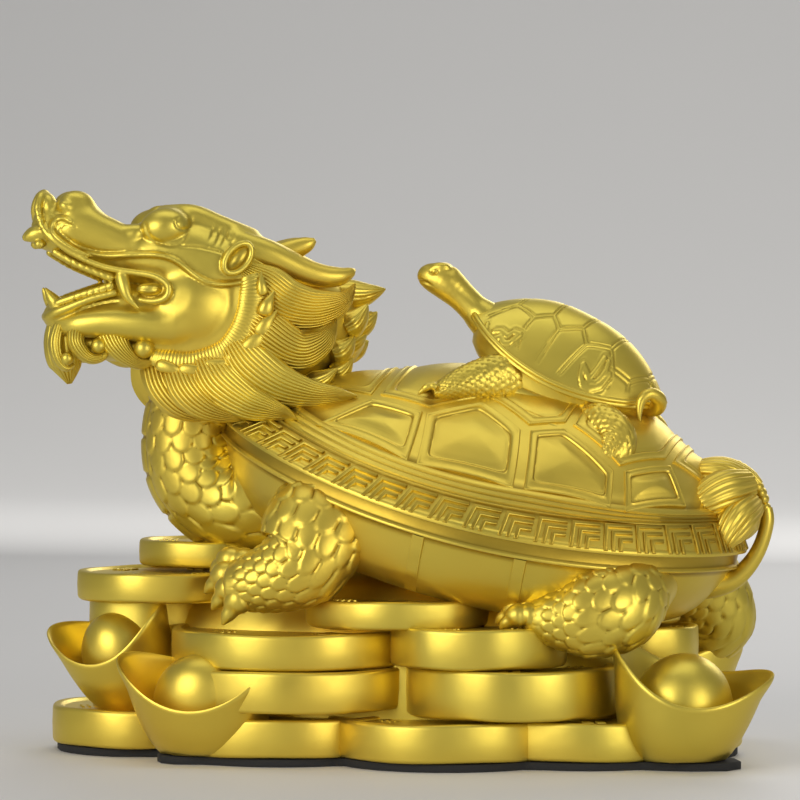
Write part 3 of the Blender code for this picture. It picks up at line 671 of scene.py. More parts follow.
class DRAGON_OT_stage(Operator):
    """Set the pale floor, the soft lights and the camera"""

    bl_idname = "dragon.stage"
    bl_label = "Floor, lights and camera"

    def execute(self, context):
        light = context.scene.studio_light
        self.add_floor(light)
        self.add_world(light)
        centre = Vector((0.0, 0.0, 0.09))
        self.add_light("key", (-0.8, -1.25, 0.55), centre, (0.9, 0.9), light.key_power, (1.0, 0.97, 0.93))
        self.add_light("fill", (1.2, -1.0, 0.35), centre, (0.7, 0.9), light.fill_power, (1.0, 0.97, 0.93))
        self.add_light("top", (0.0, 0.0, 1.3), centre, (1.2, 0.7), light.top_power, (0.97, 0.98, 1.0))
        self.add_light("back", (0.3, 1.2, 0.7), centre, (1.0, 0.6), 5.0, (1.0, 1.0, 1.0))
        self.add_light("wall", (0.0, 1.0, 0.8), Vector((0.0, 3.5, 1.0)), (2.5, 0.6), 26.0, (1.0, 1.0, 1.0))
        self.add_camera(context)
        context.scene.view_settings.view_transform = "Standard"
        return {"FINISHED"}

    def add_floor(self, light):
        """A floor that curves up into a wall far behind the figure."""
        def place(u, v):
            run = v * FLOOR_RUN
            past = np.clip(run - WALL_START, 0.0, None)
            angle = np.minimum(past / WALL_BEND, math.pi / 2.0)
            straight = np.clip(past - WALL_BEND * math.pi / 2.0, 0.0, None)
            depth = np.minimum(run, WALL_START) - FLOOR_FRONT + WALL_BEND * np.sin(angle)
            height = WALL_BEND * (1.0 - np.cos(angle)) + straight
            return np.stack(((u - 0.5) * FLOOR_WIDTH, depth, height), -1)

        bm = bmesh.new()
        bmesh.ops.create_grid(bm, x_segments=4, y_segments=60, size=0.5)
        move_points(bm, lambda points: place(points[:, 0] + 0.5, points[:, 1] + 0.5))
        mesh = bpy.data.meshes.new("floor")
        bm.to_mesh(mesh)
        bm.free()
        mesh.shade_smooth()
        floor = bpy.data.objects.new("floor", mesh)
        bpy.context.scene.collection.objects.link(floor)
        material = bpy.data.materials.new("floor")
        sheet = NodeSheet(material)
        coordinates = sheet.add("ShaderNodeTexCoord").outputs["Object"]
        cloud = sheet.noise(coordinates, 3.0, 2.0)
        darker = tuple(0.97 * channel for channel in light.floor[:3]) + (1.0,)
        sheet.link(sheet.mix(cloud, darker, tuple(light.floor)), sheet.shader.inputs["Base Color"])
        sheet.shader.inputs["Roughness"].default_value = 0.6
        mesh.materials.append(material)

    def add_world(self, light):
        """Even light from all round."""
        world = bpy.data.worlds.new("room")
        world.use_nodes = True
        background = world.node_tree.nodes["Background"]
        background.inputs["Color"].default_value = (0.93, 0.94, 0.96, 1.0)
        background.inputs["Strength"].default_value = light.world_strength
        bpy.context.scene.world = world

    def add_light(self, name, place, target, size, power, colour):
        """A soft rectangular light that looks at a point."""
        lamp = bpy.data.lights.new(name, "AREA")
        lamp.shape = "RECTANGLE"
        lamp.size, lamp.size_y = size
        lamp.energy = power
        lamp.color = colour
        thing = bpy.data.objects.new(name, lamp)
        thing.location = place
        thing.rotation_euler = (Vector(place) - target).to_track_quat("Z", "Y").to_euler()
        bpy.context.scene.collection.objects.link(thing)

    def add_camera(self, context):
        """The camera at the photograph's angle."""
        lens = bpy.data.cameras.new("photo_camera")
        lens.sensor_width = SENSOR
        lens.lens = SENSOR * CAMERA_DISTANCE / VIEW_WIDTH
        camera = bpy.data.objects.new("photo_camera", lens)
        aim = (CAMERA_AIM - FOOTPRINT_CENTRE) * MM
        rise = math.asin((CAMERA_HEIGHT - CAMERA_AIM.z) / CAMERA_DISTANCE)
        back = Vector((math.sin(CAMERA_TURN) * math.cos(rise), -math.cos(CAMERA_TURN) * math.cos(rise),
                       math.sin(rise)))
        camera.location = aim + back * CAMERA_DISTANCE * MM
        camera.rotation_euler = back.to_track_quat("Z", "Y").to_euler()
        context.scene.collection.objects.link(camera)
        context.scene.camera = camera


class Limb:
    """A skin along a smooth path; a station is x, y, z, half width along side_way and half depth."""

    def __init__(self, stations, side_way=(0.0, 1.0, 0.0), count=160):
        rows = smooth_rows(stations, count)
        centres = rows[:, :3]
        steps = np.linalg.norm(np.diff(centres, axis=0), axis=1)
        self.lengths = np.concatenate(([0.0], np.cumsum(steps)))
        self.length = self.lengths[-1]
        along = unit(np.gradient(centres, axis=0))
        way = np.asarray(side_way, float)
        side = unit(way - along * (along @ way)[:, None])
        self.table = np.concatenate((centres, side, np.cross(along, side), np.abs(rows[:, 3:5])), 1)
        wide, deep = np.abs(rows[:, 3:5]).mean(0)
        self.angles = np.linspace(0.0, TAU, 361)
        pieces = np.hypot(wide * np.sin(self.angles), deep * np.cos(self.angles))
        self.shares = np.concatenate(([0.0], np.cumsum(pieces[:-1] + pieces[1:])))
        self.shares /= self.shares[-1]
        self.girths = math.pi * (np.abs(rows[:, 3]) + np.abs(rows[:, 4]))

    def rows_down(self, lengths, columns, squat):
        """How many rows of scales lie above each length, where squat is their height over their width."""
        heights = np.maximum(self.girths, 12.0) / columns * squat
        steps = np.diff(self.lengths) / heights[1:]
        return np.interp(lengths, self.lengths, np.concatenate(([0.0], np.cumsum(steps))))

    def points(self, v, angle, lift):
        """Points at a share v of the length and an angle round it, raised square to the skin."""
        read = np.stack([np.interp(v * self.length, self.lengths, column) for column in self.table.T], -1)
        side = unit(read[:, 3:6])
        rise = unit(read[:, 6:9])
        wide = read[:, 9:10]
        deep = read[:, 10:11]
        cos = np.cos(angle)[:, None]
        sin = np.sin(angle)[:, None]
        normal = unit(side * deep * cos + rise * wide * sin)
        return read[:, :3] + side * wide * cos + rise * deep * sin + normal * lift[:, None]


def limb_form(stations, columns, rows, relief=None, side_way=(0.0, 1.0, 0.0)):
    """A closed limb; relief(millimetres along, turns round) gives the height of its surface."""
    limb = Limb(stations, side_way)

    def place(u, v):
        lift = np.zeros_like(u) if relief is None else relief(v * limb.length, u)
        return limb.points(v, np.interp(u, limb.shares, limb.angles), lift)

    return grid_form(columns, rows, place)


def scale_relief(down, across, rise):
    """Height of round scales that overlap like roof tiles; down counts rows and across columns."""
    height = np.zeros_like(down)
    bare = np.ones(down.shape, bool)
    for back in (1.0, 0.0):
        row = np.floor(down) - back
        fall = down - row
        beside = 2.0 * ((across - 0.5 * (row % 2.0)) % 1.0) - 1.0
        reach = np.hypot(beside, np.clip(fall - 0.55, 0.0, None) / 0.75)
        here = bare & (reach < 1.0)
        tile = 0.35 + 0.65 * fall / 1.3 - 0.12 * beside ** 2
        height = np.where(here, rise * tile * np.sqrt(1.0 - np.clip(reach, 0.0, 1.0) ** 14), height)
        bare &= ~here
    return height


def neck_relief(limb):
    """The neck's relief: scales that hang down from the mane, and a band of belly plates in front."""
    sizes = bpy.context.scene.casting_sizes
    front = 0.25
    half_band = 0.085
    plate_pitch = 8.4
    last = limb.rows_down(limb.length, sizes.scale_columns, 0.72)

    def relief(along, around):
        down = last - limb.rows_down(along, sizes.scale_columns, 0.72)
        scales = scale_relief(down, around * sizes.scale_columns, sizes.scale_rise)
        off = np.abs(around - front)
        plate = ((limb.length - along) / plate_pitch) % 1.0
        edge = np.minimum(plate, 1.0 - plate) * plate_pitch
        ribs = 0.9 * ease(0.0, 1.0, edge) + 0.5 * ease(half_band, half_band * 0.4, off)
        border = -0.5 * np.exp(-((off - half_band) * 108.0 / 0.8) ** 2)
        return np.where(off < half_band, ribs, scales) + border

    return relief


def leg_relief(limb, start, bare_end, columns, rise):
    """Scales down a leg, fading out before its start and its smooth end."""
    end = limb.length - bare_end

    def relief(along, around):
        fade = ease(start - 6.0, start, along) * ease(end + 3.0, end - 1.0, along)
        return fade * scale_relief(limb.rows_down(along, columns, 0.74), around * columns, rise)
    return relief


def toe_form(root, tip, radius, arch=0.22):
    """A toe with two knuckles that ends in a pointed claw."""
    start = np.array(root, float)
    end = np.array(tip, float)
    long = np.linalg.norm(end - start)
    stations = []
    for share, girth, rise in ((0.0, 1.0, 0.0), (0.16, 1.1, 0.7), (0.32, 0.96, 0.9), (0.48, 1.08, 1.0),
                               (0.64, 0.94, 0.85), (0.73, 0.66, 0.66), (0.87, 0.48, 0.38), (1.0, 0.1, 0.0)):
        centre = start + (end - start) * share + np.array((0.0, 0.0, rise * arch * long))
        stations.append((*centre, radius * girth, radius * girth))
    return limb_form(stations, 22 if radius > 2.0 else 14, 28 if radius > 2.0 else 18)


class DRAGON_OT_neck(Operator):
    """Model the neck with its scales and belly plates"""

    bl_idname = "dragon.neck"
    bl_label = "Neck"

    def execute(self, context):
        stations = [(-18, 0, 97, 38, 28), (-42, 0, 93, 30, 26), (-60, -1.5, 88, 20, 19.5),
                    (-72, -3, 97, 18, 18),
                    (-75, -4, 111, 17.5, 16.5), (-71, -4, 126, 18, 16), (-62, -3, 140, 18, 17)]
        form = limb_form(stations, 200, 190, neck_relief(Limb(stations)))
        gold_piece([form], "neck", spread=8, depth=0.35)
        return {"FINISHED"}


class DRAGON_OT_legs(Operator):
    """Model the four legs with their scales, toes and claws"""

    bl_idname = "dragon.legs"
    bl_label = "Legs"

    front = [(-18, 32, 94, 15, 16), (-20, 45, 84, 14, 18.3), (-22.5, 51, 77, 13.5, 18),
             (-26, 54, 69, 13, 15.4),
             (-34, 55, 64.3, 12.5, 12.3), (-44, 55, 61.4, 10.5, 9.3), (-50, 54, 60.4, 9, 7),
             (-53.5, 54, 60, 3, 3)]
    hind = [(86, 28, 64, 13, 14), (83, 38, 60, 12.5, 15), (79, 46, 55, 12, 16), (71, 50.5, 51.5, 10.5, 14),
            (64, 51, 50.5, 9.5, 11), (57, 51, 50.5, 8.5, 8), (51, 50, 50.5, 7, 5.6), (48, 50, 50, 2, 2)]
    far_hind = [(90, 26, 66, 14, 17), (99, 36, 56, 13, 16), (104, 42, 45, 11.5, 14), (97, 45, 40, 11, 12.5),
                (83, 48, 43.5, 10, 12.5), (69, 51, 48.5, 9.5, 11.5), (57, 51, 50.5, 8.5, 8),
                (51, 50, 50.5, 7, 5.6), (48, 50, 50, 2, 2)]
    front_toes = [((-45, 47, 66), (-60, 43.5, 64.5)), ((-46, 50.5, 63), (-61, 48, 57.5)),
                  ((-45, 55.5, 60), (-57, 55, 52.5)), ((-41, 60, 58), (-52, 61, 47.8))]
    hind_toes = [((53, 44, 52), (41, 42, 50)), ((53, 49.5, 52), (39.5, 49, 48.5)),
                 ((54, 55, 50.5), (42, 56, 47.5))]

    def execute(self, context):
        rise = context.scene.casting_sizes.scale_rise
        for name, near, far, toes, radius, scaled in (
                ("front_legs", self.front, self.front, self.front_toes, 4.6, (14.0, 9.0, 14, rise)),
                ("hind_legs", self.hind, self.far_hind, self.hind_toes, 3.9, (12.0, 9.0, 13, rise * 0.9))):
            forms = []
            for side, stations in ((-1.0, near), (1.0, far)):
                path = [(x, side * y, z, wide, deep) for x, y, z, wide, deep in stations]
                forms.append(limb_form(path, 140, 130, leg_relief(Limb(path), *scaled)))
                for root, tip in toes:
                    forms.append(toe_form((root[0], side * root[1], root[2]),
                                          (tip[0], side * tip[1], tip[2]),
                                          radius))
            gold_piece(forms, name, spread=8, depth=0.35)
        return {"FINISHED"}


def heap_coins():
    """Every coin: x, y, height of its top, radius, thickness."""
    bottom = [(-90, -8, 34), (20, -32, 41), (-38, -24, 42), (66, -22, 38), (14, 34, 41), (-40, 28, 42),
              (62, 28, 41), (86, 4, 32)]
    coins = [(x, y, 16.0, radius, 16.0 - FLOOR) for x, y, radius in bottom]
    coins += [(-35, -27, 32.5, 43.5, 14.0), (42, -32, 33.5, 36, 16.5), (-34.6, -26, 44.9, 42, 12.2),
              (32, -38, 47.5, 30, 13.5), (-90, -7, 53.4, 21, 17), (3, -30, 56, 32, 9.5),
              (-84, -9, 63, 30, 10), (-71, 9, 73, 25, 9),
              (-58, 28, 32.3, 38, 12.3), (40, 30, 32.3, 38, 12.3), (-40, 28, 44.7, 39, 12.0),
              (30, 36, 46, 30, 12.5), (0, 30, 56, 32, 9.5), (82, 4, 45, 20, 12), (79, 2, 56, 17, 10)]
    return coins


def coin_form(x, y, top, radius, thickness, turn):
    """A coin lying flat: soft edges, a raised rim round a sunk face, and a slightly uneven outline."""
    sizes = bpy.context.scene.casting_sizes
    rim = sizes.coin_rim
    sink = sizes.coin_recess
    profile = [(0.0, -sink), (radius - rim - 8.0, -sink), (radius - rim - 1.6, -sink),
               (radius - rim - 0.9, -sink * 0.9),
               (radius - rim - 0.2, -0.15), (radius - rim + 0.5, 0.0), (radius - 1.1, 0.0),
               (radius - 0.5, -0.15),
               (radius - 0.1, -0.6), (radius + 0.05, -1.4), (radius + 0.2, -thickness * 0.5),
               (radius + 0.05, 1.2 - thickness), (radius - 0.2, 0.5 - thickness), (radius - 0.8, -thickness),
               (0.0, -thickness)]

    def place(u, v):
        reach, height = read_profile(profile, v)
        angle = TAU * u
        wave = 0.3 * np.sin(3.0 * angle + turn) + 0.22 * np.sin(7.0 * angle + 2.1 * turn)
        edge = ease(radius - 8.0, radius, reach)
        reach = reach + wave * edge
        height = height + 0.18 * np.sin(5.0 * angle + 1.7 * turn) * edge
        return np.stack((x + reach * np.cos(angle), y + reach * np.sin(angle), top + height), -1)

    return grid_form(88, len(profile) - 1, place)


def coin_strokes(x, y, top, radius, turn):
    """Short raised bars in four groups on a coin's sunk face, in plain rows."""
    sink = bpy.context.scene.casting_sizes.coin_recess
    forms = []
    for group in range(4):
        heading = turn + group * TAU / 4.0
        middle = Vector((math.cos(heading), math.sin(heading), 0.0)) * radius * 0.62
        for row in range(3):
            for part in range(2):
                bm = bmesh.new()
                bmesh.ops.create_cube(bm, size=1.0)
                bmesh.ops.transform(bm, matrix=Matrix.Diagonal((0.9, 3.4 - 0.5 * part, 0.9, 1.0)),
                                    verts=bm.verts)
                lid = [edge for edge in bm.edges if all(vert.co.z > 0.0 for vert in edge.verts)]
                bmesh.ops.bevel(bm, geom=lid, offset=0.2, segments=1, profile=0.5, affect="EDGES",
                                material=-1)
                shift = Matrix.Translation(((row - 1) * 2.3, (part - 0.5) * 4.4, -sink + 0.1))
                place = Matrix.Translation((x, y, top)) @ Matrix.Translation(middle)
                place = place @ Matrix.Rotation(heading, 4, "Z") @ shift
                bmesh.ops.transform(bm, matrix=place, verts=bm.verts)
                forms.append(bm)
    return forms


def ingot_form(centre, half_length, half_width, height, turn, tilt=0.0, lean=0.0):
    """A boat-shaped ingot: a hull flared to two raised tips, a thin rim and a dome inside."""
    hull = smooth_rows([(0.52, 0.56, 0.0, 0.0), (0.64, 0.68, 0.05, 0.01), (0.79, 0.87, 0.22, 0.06),
                        (0.90, 0.965, 0.42, 0.15), (0.965, 1.0, 0.60, 0.24), (1.0, 1.01, 0.68, 0.29)], 16)
    rim = [(1.0, 0.995, 0.705, 0.298), (0.985, 0.975, 0.712, 0.30), (0.965, 0.95, 0.705, 0.295)]
    inside = smooth_rows([(0.94, 0.92, 0.68, 0.275), (0.86, 0.86, 0.60, 0.17), (0.74, 0.80, 0.53, 0.06),
                          (0.655, 0.755, 0.50, 0.0)], 9)
    dome = [(0.64 * math.cos(t), 0.74 * math.cos(t), 0.50 + 0.52 * math.sin(t), 0.0)
            for t in np.linspace(0.06, math.pi / 2.0, 13)]
    profile = [tuple(row) for row in hull] + rim + [tuple(row) for row in inside] + dome
    tip = Matrix.Rotation(tilt, 3, "Y") @ Matrix.Rotation(lean, 3, "X")
    spin = np.array(Matrix.Rotation(turn, 3, "Z") @ tip)

    def place(u, v):
        long, wide, level, lift = read_profile(profile, v)
        angle = TAU * u
        along = np.cos(angle)
        point = 1.0 + 0.05 * along ** 8 * ease(0.2, 0.28, lift)
        local = np.stack((half_length * long * along * point, half_width * wide * np.sin(angle),
                          height * (level + lift * along * along)), -1)
        world = local @ spin.T + np.array(centre)
        world[:, 2] = np.maximum(world[:, 2], FLOOR)
        return world

    return grid_form(80, len(profile) - 1, place)


class DRAGON_OT_heap(Operator):
    """Model the heap of coins and ingots under the turtle"""

    bl_idname = "dragon.heap"
    bl_label = "Coins and ingots"

    def execute(self, context):
        def mound(u, v):
            share, level = read_profile(((0.0, FLOOR), (1.0, FLOOR), (0.985, 20.0), (0.97, 30.0),
                                         (0.93, 40.0),
                                         (0.86, 50.0), (0.76, 58.0), (0.6, 62.0), (0.0, 62.0)), v)
            angle = TAU * u
            return np.stack((98.0 * share * np.cos(angle), 44.0 * share * np.sin(angle), level), -1)

        forms = [grid_form(96, 8, mound)]
        for index, (x, y, top, radius, thickness) in enumerate(heap_coins()):
            forms.append(coin_form(x, y, top, radius, thickness, 0.7 * index))
            forms += coin_strokes(x, y, top, radius, 0.35 + 0.5 * index)
        gold_piece(forms, "coin_heap", spread=2, depth=1.2, crease=48.0)
        steep = math.radians(24)
        gentle = math.radians(12)
        boats = [ingot_form((-60, -46, FLOOR), 27, 18, 36, math.radians(-3), 0.0, steep),
                 ingot_form((-91, -16, 17), 22, 17, 34, math.radians(-16), -gentle, steep),
                 ingot_form((98, -38, FLOOR), 26.5, 23, 36, math.radians(6), gentle, gentle),
                 ingot_form((-72, 48, FLOOR), 27, 17, 36, math.radians(4), 0.0, -gentle),
                 ingot_form((86, 46, FLOOR), 25, 20, 33, math.radians(-14), 0.0, -gentle)]
        gold_piece(boats, "ingots", spread=4, depth=1.0)
        return {"FINISHED"}


class DRAGON_OT_pad(Operator):
    """Model the thin dark pad under the heap"""

    bl_idname = "dragon.pad"
    bl_label = "Pad"

    def execute(self, context):
        copy = bmesh.new()
        copy.from_mesh(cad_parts["base_pad"].data)
        bmesh.ops.remove_doubles(copy, verts=copy.verts, dist=0.00001)
        bmesh.ops.dissolve_limit(copy, angle_limit=math.radians(3.0), verts=copy.verts, edges=copy.edges)
        flat = [edge for edge in copy.edges if abs(edge.verts[0].co.z - edge.verts[1].co.z) < 0.0001]
        bmesh.ops.bevel(copy, geom=flat, offset=0.0003, segments=2, profile=0.5, affect="EDGES", material=-1)
        bmesh.ops.scale(copy, verts=copy.verts, vec=(1.0 / MM, 1.0 / MM, 1.0 / MM))
        bmesh.ops.translate(copy, verts=copy.verts, vec=FOOTPRINT_CENTRE)
        finish_piece(copy, "pad", pad_material(), "pad", "base_pad")
        return {"FINISHED"}


def tuft_relief(strands, rise):
    """Fine strands that run along a lock, rounded on top with sharp valleys between them."""
    def relief(along, around):
        return rise * np.abs(np.sin(math.pi * strands * around)) ** 0.7
    return relief


class DRAGON_OT_tail(Operator):
    """Model the curled tail, its row of beads and the tuft of hair at its end"""

    bl_idname = "dragon.tail"
    bl_label = "Tail"

    def execute(self, context):
        rise = context.scene.casting_sizes.hair_rise
        tube = [(98, 0, 61, 7, 8), (107, 0, 59.4, 5, 5), (114.2, 0, 60.8, 3.7, 3.7),
                (119.8, 0, 65.5, 3.0, 3.0),
                (124.1, 0, 72.4, 2.6, 2.6), (126.6, 0, 81, 2.4, 2.4), (126.2, 0, 86, 2.2, 2.2)]
        forms = [limb_form(tube, 28, 36)]
        tuft = [(121, 0, 91, 5, 5), (117, 0, 95, 8, 5.5), (110, 0, 97.5, 10.5, 5.5), (101, 0, 97.5, 8, 3.6),
                (94, 0, 95.5, 2, 0.8)]
        forms.append(limb_form(tuft, 130, 32, tuft_relief(24, rise)))
        for side in (-1.0, 1.0):
            middle = [(120, side * 3, 94, 5, 5), (113, side * 10, 92, 6.5, 7),
                      (106, side * 15.5, 88.5, 5, 5.5),
                      (101, side * 18, 85.5, 0.8, 0.8)]
            lower = [(121, side * 4, 87, 5, 5), (117.5, side * 11.5, 83, 6, 6.5),
                     (114, side * 15.5, 77, 4, 5),
                     (112, side * 16, 71, 0.7, 0.7)]
            forms.append(limb_form(middle, 90, 26, tuft_relief(17, rise)))
            forms.append(limb_form(lower, 90, 26, tuft_relief(17, rise)))
        for step in range(9):
            share = step / 8.0
            x, _, z = smooth_rows([(116.5, 0, 100.6), (120.4, 0, 97.6), (123.4, 0, 93.0), (125.3, 0, 89.0),
                                   (126.6, 0, 83.6)], 9)[step]
            size = 1.7 + 0.5 * math.sin(math.pi * share)
            forms.append(ball((x, 0.0, z), (size, size * 1.25, size), 16, 10))
        gold_piece(forms, "tail", spread=6, depth=0.35)
        return {"FINISHED"}


def line_relief(x, y, paths, scale):
    """Distance in millimetres from points x, y to drawn paths, with scale the size of x and y."""
    nearest = np.full(x.shape, 99.0)
    for path in paths:
        for start, end in zip(path[:-1], path[1:]):
            step_x = (end[0] - start[0]) * scale[0]
            step_y = (end[1] - start[1]) * scale[1]
            off_x = (x - start[0]) * scale[0]
            off_y = (y - start[1]) * scale[1]
            share = np.clip((off_x * step_x + off_y * step_y) / (step_x ** 2 + step_y ** 2), 0.0, 1.0)
            nearest = np.minimum(nearest, np.hypot(off_x - share * step_x, off_y - share * step_y))
    return nearest


class DRAGON_OT_small_turtle(Operator):
    """Model the small turtle on the mother's back"""

    bl_idname = "dragon.small_turtle"
    bl_label = "Small turtle"

    seams = [[(-0.56, -0.29), (-0.36, -0.47), (-0.195, -0.38), (-0.095, -0.535), (0.1, -0.405),
              (0.195, -0.565),
              (0.405, -0.435), (0.495, -0.6), (0.665, -0.545), (0.80, -0.25)],
             [(-0.56, -0.29), (-0.72, -0.40), (-0.84, -0.48)],
             [(-0.36, -0.47), (-0.41, -0.66), (-0.38, -0.93)],
             [(-0.095, -0.535), (-0.17, -0.93)], [(0.195, -0.565), (0.06, -0.93)],
             [(0.495, -0.6), (0.50, -0.80)],
             [(0.665, -0.545), (0.71, -0.70)],
             [(-0.195, -0.38), (-0.15, 0.0)], [(0.1, -0.405), (0.19, 0.0)], [(0.405, -0.435), (0.49, 0.0)],
             [(-0.56, -0.29), (-0.50, 0.0)], [(0.80, -0.25), (0.82, 0.0)], [(0.80, -0.25), (0.93, -0.25)]]
    ornaments = [[(-0.76, -0.56), (-0.74, -0.66), (-0.655, -0.75), (-0.585, -0.72), (-0.53, -0.79),
                  (-0.475, -0.78),
                  (-0.415, -0.69), (-0.485, -0.67), (-0.52, -0.72), (-0.60, -0.66), (-0.665, -0.655)],
                 [(0.235, -0.75), (0.25, -0.83), (0.29, -0.875), (0.37, -0.87), (0.455, -0.785),
                  (0.485, -0.665),
                  (0.44, -0.70), (0.40, -0.81), (0.345, -0.83), (0.30, -0.79), (0.235, -0.75)],
                 [(0.34, -0.80), (0.37, -0.68), (0.385, -0.575)],
                 [(0.42, -0.77), (0.44, -0.66), (0.43, -0.58)]]

    def execute(self, context):
        forms = self.shell_forms() + self.head_forms() + self.leg_forms()
        gold_piece(forms, "small_turtle", spread=5, depth=0.3, crease=50.0)
        return {"FINISHED"}

    def shell_forms(self):
        """The shell with pairs of engraved lines between its plates, raised ornaments and a rolled rim."""
        dome = small_dome()
        sizes = (dome.half_length, dome.half_width)

        def place(u, v):
            angle = TAU * u
            radius = 0.985 * v ** 0.8
            x = radius * np.cos(angle)
            y = radius * np.sin(angle)
            away = line_relief(x, -np.abs(y), self.seams, sizes)
            fade = ease(0.93, 0.9, radius)
            lift = -0.32 * np.exp(-((away - 0.55) / 0.28) ** 2) * fade
            worked = line_relief(x, -np.abs(y), self.ornaments, sizes)
            lift = np.where(worked < 1.6, 0.0, lift)
            lift = lift + 0.55 * np.sqrt(np.clip(1.0 - (worked / 0.75) ** 2, 0.0, 1.0))
            lift = lift + 0.12 * np.exp(-((worked - 1.4) / 0.3) ** 2)
            return dome.points(x, y, lift)

        skin = thinned(grid_form(400, 110, place), 46000)
        wall = [(0.6, -1.5), (0.93, -0.9), (0.97, -0.75), (0.995, -0.5), (1.01, 0.0), (1.015, 0.5),
                (1.01, 1.0),
                (0.985, 1.45), (0.955, 1.6), (0.93, 2.2), (0.91, 3.6), (0.895, 6.5), (0.87, 9.5),
                (0.8, 12.0),
                (0.0, 14.0)]
        roll = []
        for step in range(49):
            angle = TAU * step / 48.0
            spot = dome.points(np.array([0.985 * math.cos(angle)]), np.array([0.985 * math.sin(angle)]),
                               np.array([0.0]))[0]
            roll.append((*spot, 0.95, 0.95))
        rim = limb_form(roll, 14, 150, None, (0.3, 0.0, 1.0))
        return [skin, shell_wall(dome, wall, 100), rim]

    def head_forms(self):
        """The raised neck, the head with brows and a mouth line, and the curled tail."""
        clay = Clay((0.0, -8.0, 140.0), (46.0, 12.0, 174.0), 0.4)
        clay.tube([(42, 1.0, 144.5, 8.5), (34, 1.5, 147.0, 7.8), (28.5, 2.2, 151.0, 6.4),
                   (25.0, 2.6, 154.2, 5.3),
                   (20.6, 3.0, 158.6, 5.2), (15.6, 3.4, 163.0, 5.9), (11.4, 3.6, 165.0, 5.2),
                   (9.0, 3.6, 165.8, 4.0),
                   (8.2, 3.6, 165.8, 2.6)], 0.0, count=30)
        clay.tube([(16.8, 3.5, 166.0, 2.8), (13.8, 3.5, 166.4, 2.6), (10.4, 3.6, 166.4, 2.8)], 1.5)
        for side in (-1.0, 1.0):
            clay.blob((13.6, 3.6 + side * 2.6, 169.0), (3.2, 1.9, 1.5), 1.4)
            clay.blob((11.6, 3.6 + side * 4.5, 167.2), (1.6, 0.8, 1.1), 0.2, 0.0, True)
            clay.blob((11.7, 3.6 + side * 3.8, 167.4), (1.2, 0.9, 0.85), 0.1)
            clay.tube([(12.0, 3.6 + side * 5.6, 161.6, 0.5), (8.8, 3.6 + side * 4.3, 163.4, 0.65),
                       (6.4, 3.6 + side * 2.6, 163.9, 0.6), (4.6, 3.6, 163.9, 0.6)], 0.2, True)
            clay.blob((5.6, 3.6 + side * 1.3, 167.2), (0.7, 0.5, 0.5), 0.2, 0.0, True)
        forms = [thinned(clay.mesh_form(lambda points: points * (1.0, -1.0, 1.0), 1, False), 22000)]
        curl = [(84, -5, 120, 2.4, 2.6), (89.4, -10, 120.5, 2.6, 2.8), (90.6, -14, 123.6, 2.4, 2.6),
                (88.0, -17.0, 125.4, 2.2, 2.2), (85.2, -18.6, 123.2, 1.8, 1.7),
                (84.6, -19.5, 118.6, 1.0, 0.9),
                (85.0, -19.8, 116.2, 0.2, 0.2)]
        forms.append(limb_form(curl, 24, 34))
        return forms

    def leg_forms(self):
        """Scaled legs with small toes, and the cast footing that joins them to the big shell."""
        forms = []
        for side in (-1.0, 1.0):
            back = 5.0 if side > 0.0 else 0.0
            front = [(47, side * 12, 130, 5, 8), (41, side * 16, 130.2, 5.4, 8.6),
                     (34.0, side * 20.5, 130.4, 5.4, 8.0),
                     (25.5, side * 25.0, 129.2, 5.0, 5.8), (19, side * 27.5, 127.2, 4.2, 3.8),
                     (14.8, side * 28.8, 126.2, 2.4, 1.8)]
            hind = [(62 + back, side * 14, 116, 5, 7.5), (70 + back, side * 20, 114, 5.4, 8.6),
                    (76.4 + back, side * 25, 110.5, 5.2, 7.8), (76.8 + back, side * 28.5, 105.6, 4.8, 6.2),
                    (72.8 + back, side * 30.5, 102.6, 3.8, 4.2), (68.0 + back, side * 31.2, 101.2, 2.2, 2.2)]
            for path in (front, hind):
                limb = Limb(path)

                def worn(along, around, limb=limb):
                    return scale_relief(limb.rows_down(along, 15, 0.7), around * 15, 0.55)
                forms.append(limb_form(path, 96, 84, worn))
            for step in range(4):
                spread = 25.5 + 2.3 * step
                forms.append(toe_form((16.5, side * spread, 127.6), (10.2, side * (spread + 0.8), 125.2),
                                      1.25))
                forms.append(toe_form((71.0, side * (spread + 2.0), 102.6),
                                      (65.4, side * (spread + 2.6), 100.6), 1.2))
        footing = [(12, 0, 126, 10, 4), (22, 0, 127.0, 18, 7), (38, 0, 126.0, 21.0, 9.0),
                   (58, 0, 118.6, 22.4, 10.0),
                   (76, 0, 108.5, 22, 10), (90, 0, 99.0, 10, 6)]
        forms.append(limb_form(footing, 60, 40))
        for side in (-1.0, 1.0):
            melt = [(40, side * 23, 121, 3, 1.4), (48, side * 25.5, 118.4, 4.4, 1.8),
                    (56, side * 27, 114.6, 5, 2.2),
                    (64, side * 27, 110.0, 5, 3.0), (68, side * 28, 104.4, 4, 3.4),
                    (67, side * 29, 101.6, 2, 1.5)]
            forms.append(limb_form(melt, 24, 40))
        return forms


def head_points(points):
    """Points in the frame from the head's own axes: forward of the pivot, to the side, and height."""
    forward, side, height = points[..., 0], points[..., 1], points[..., 2]
    return np.stack((HEAD_PIVOT[0] - forward * math.cos(HEAD_TURN) + side * math.sin(HEAD_TURN),
                     HEAD_PIVOT[1] - forward * math.sin(HEAD_TURN) - side * math.cos(HEAD_TURN),
                     height), -1)


def head_rows(rows, side):
    """Rows of forward, side, height and more, moved into the frame on one side of the head."""
    table = np.array(rows, float)
    table[:, 1] *= side
    table[:, :3] = head_points(table[:, :3])
    return [tuple(row) for row in table]


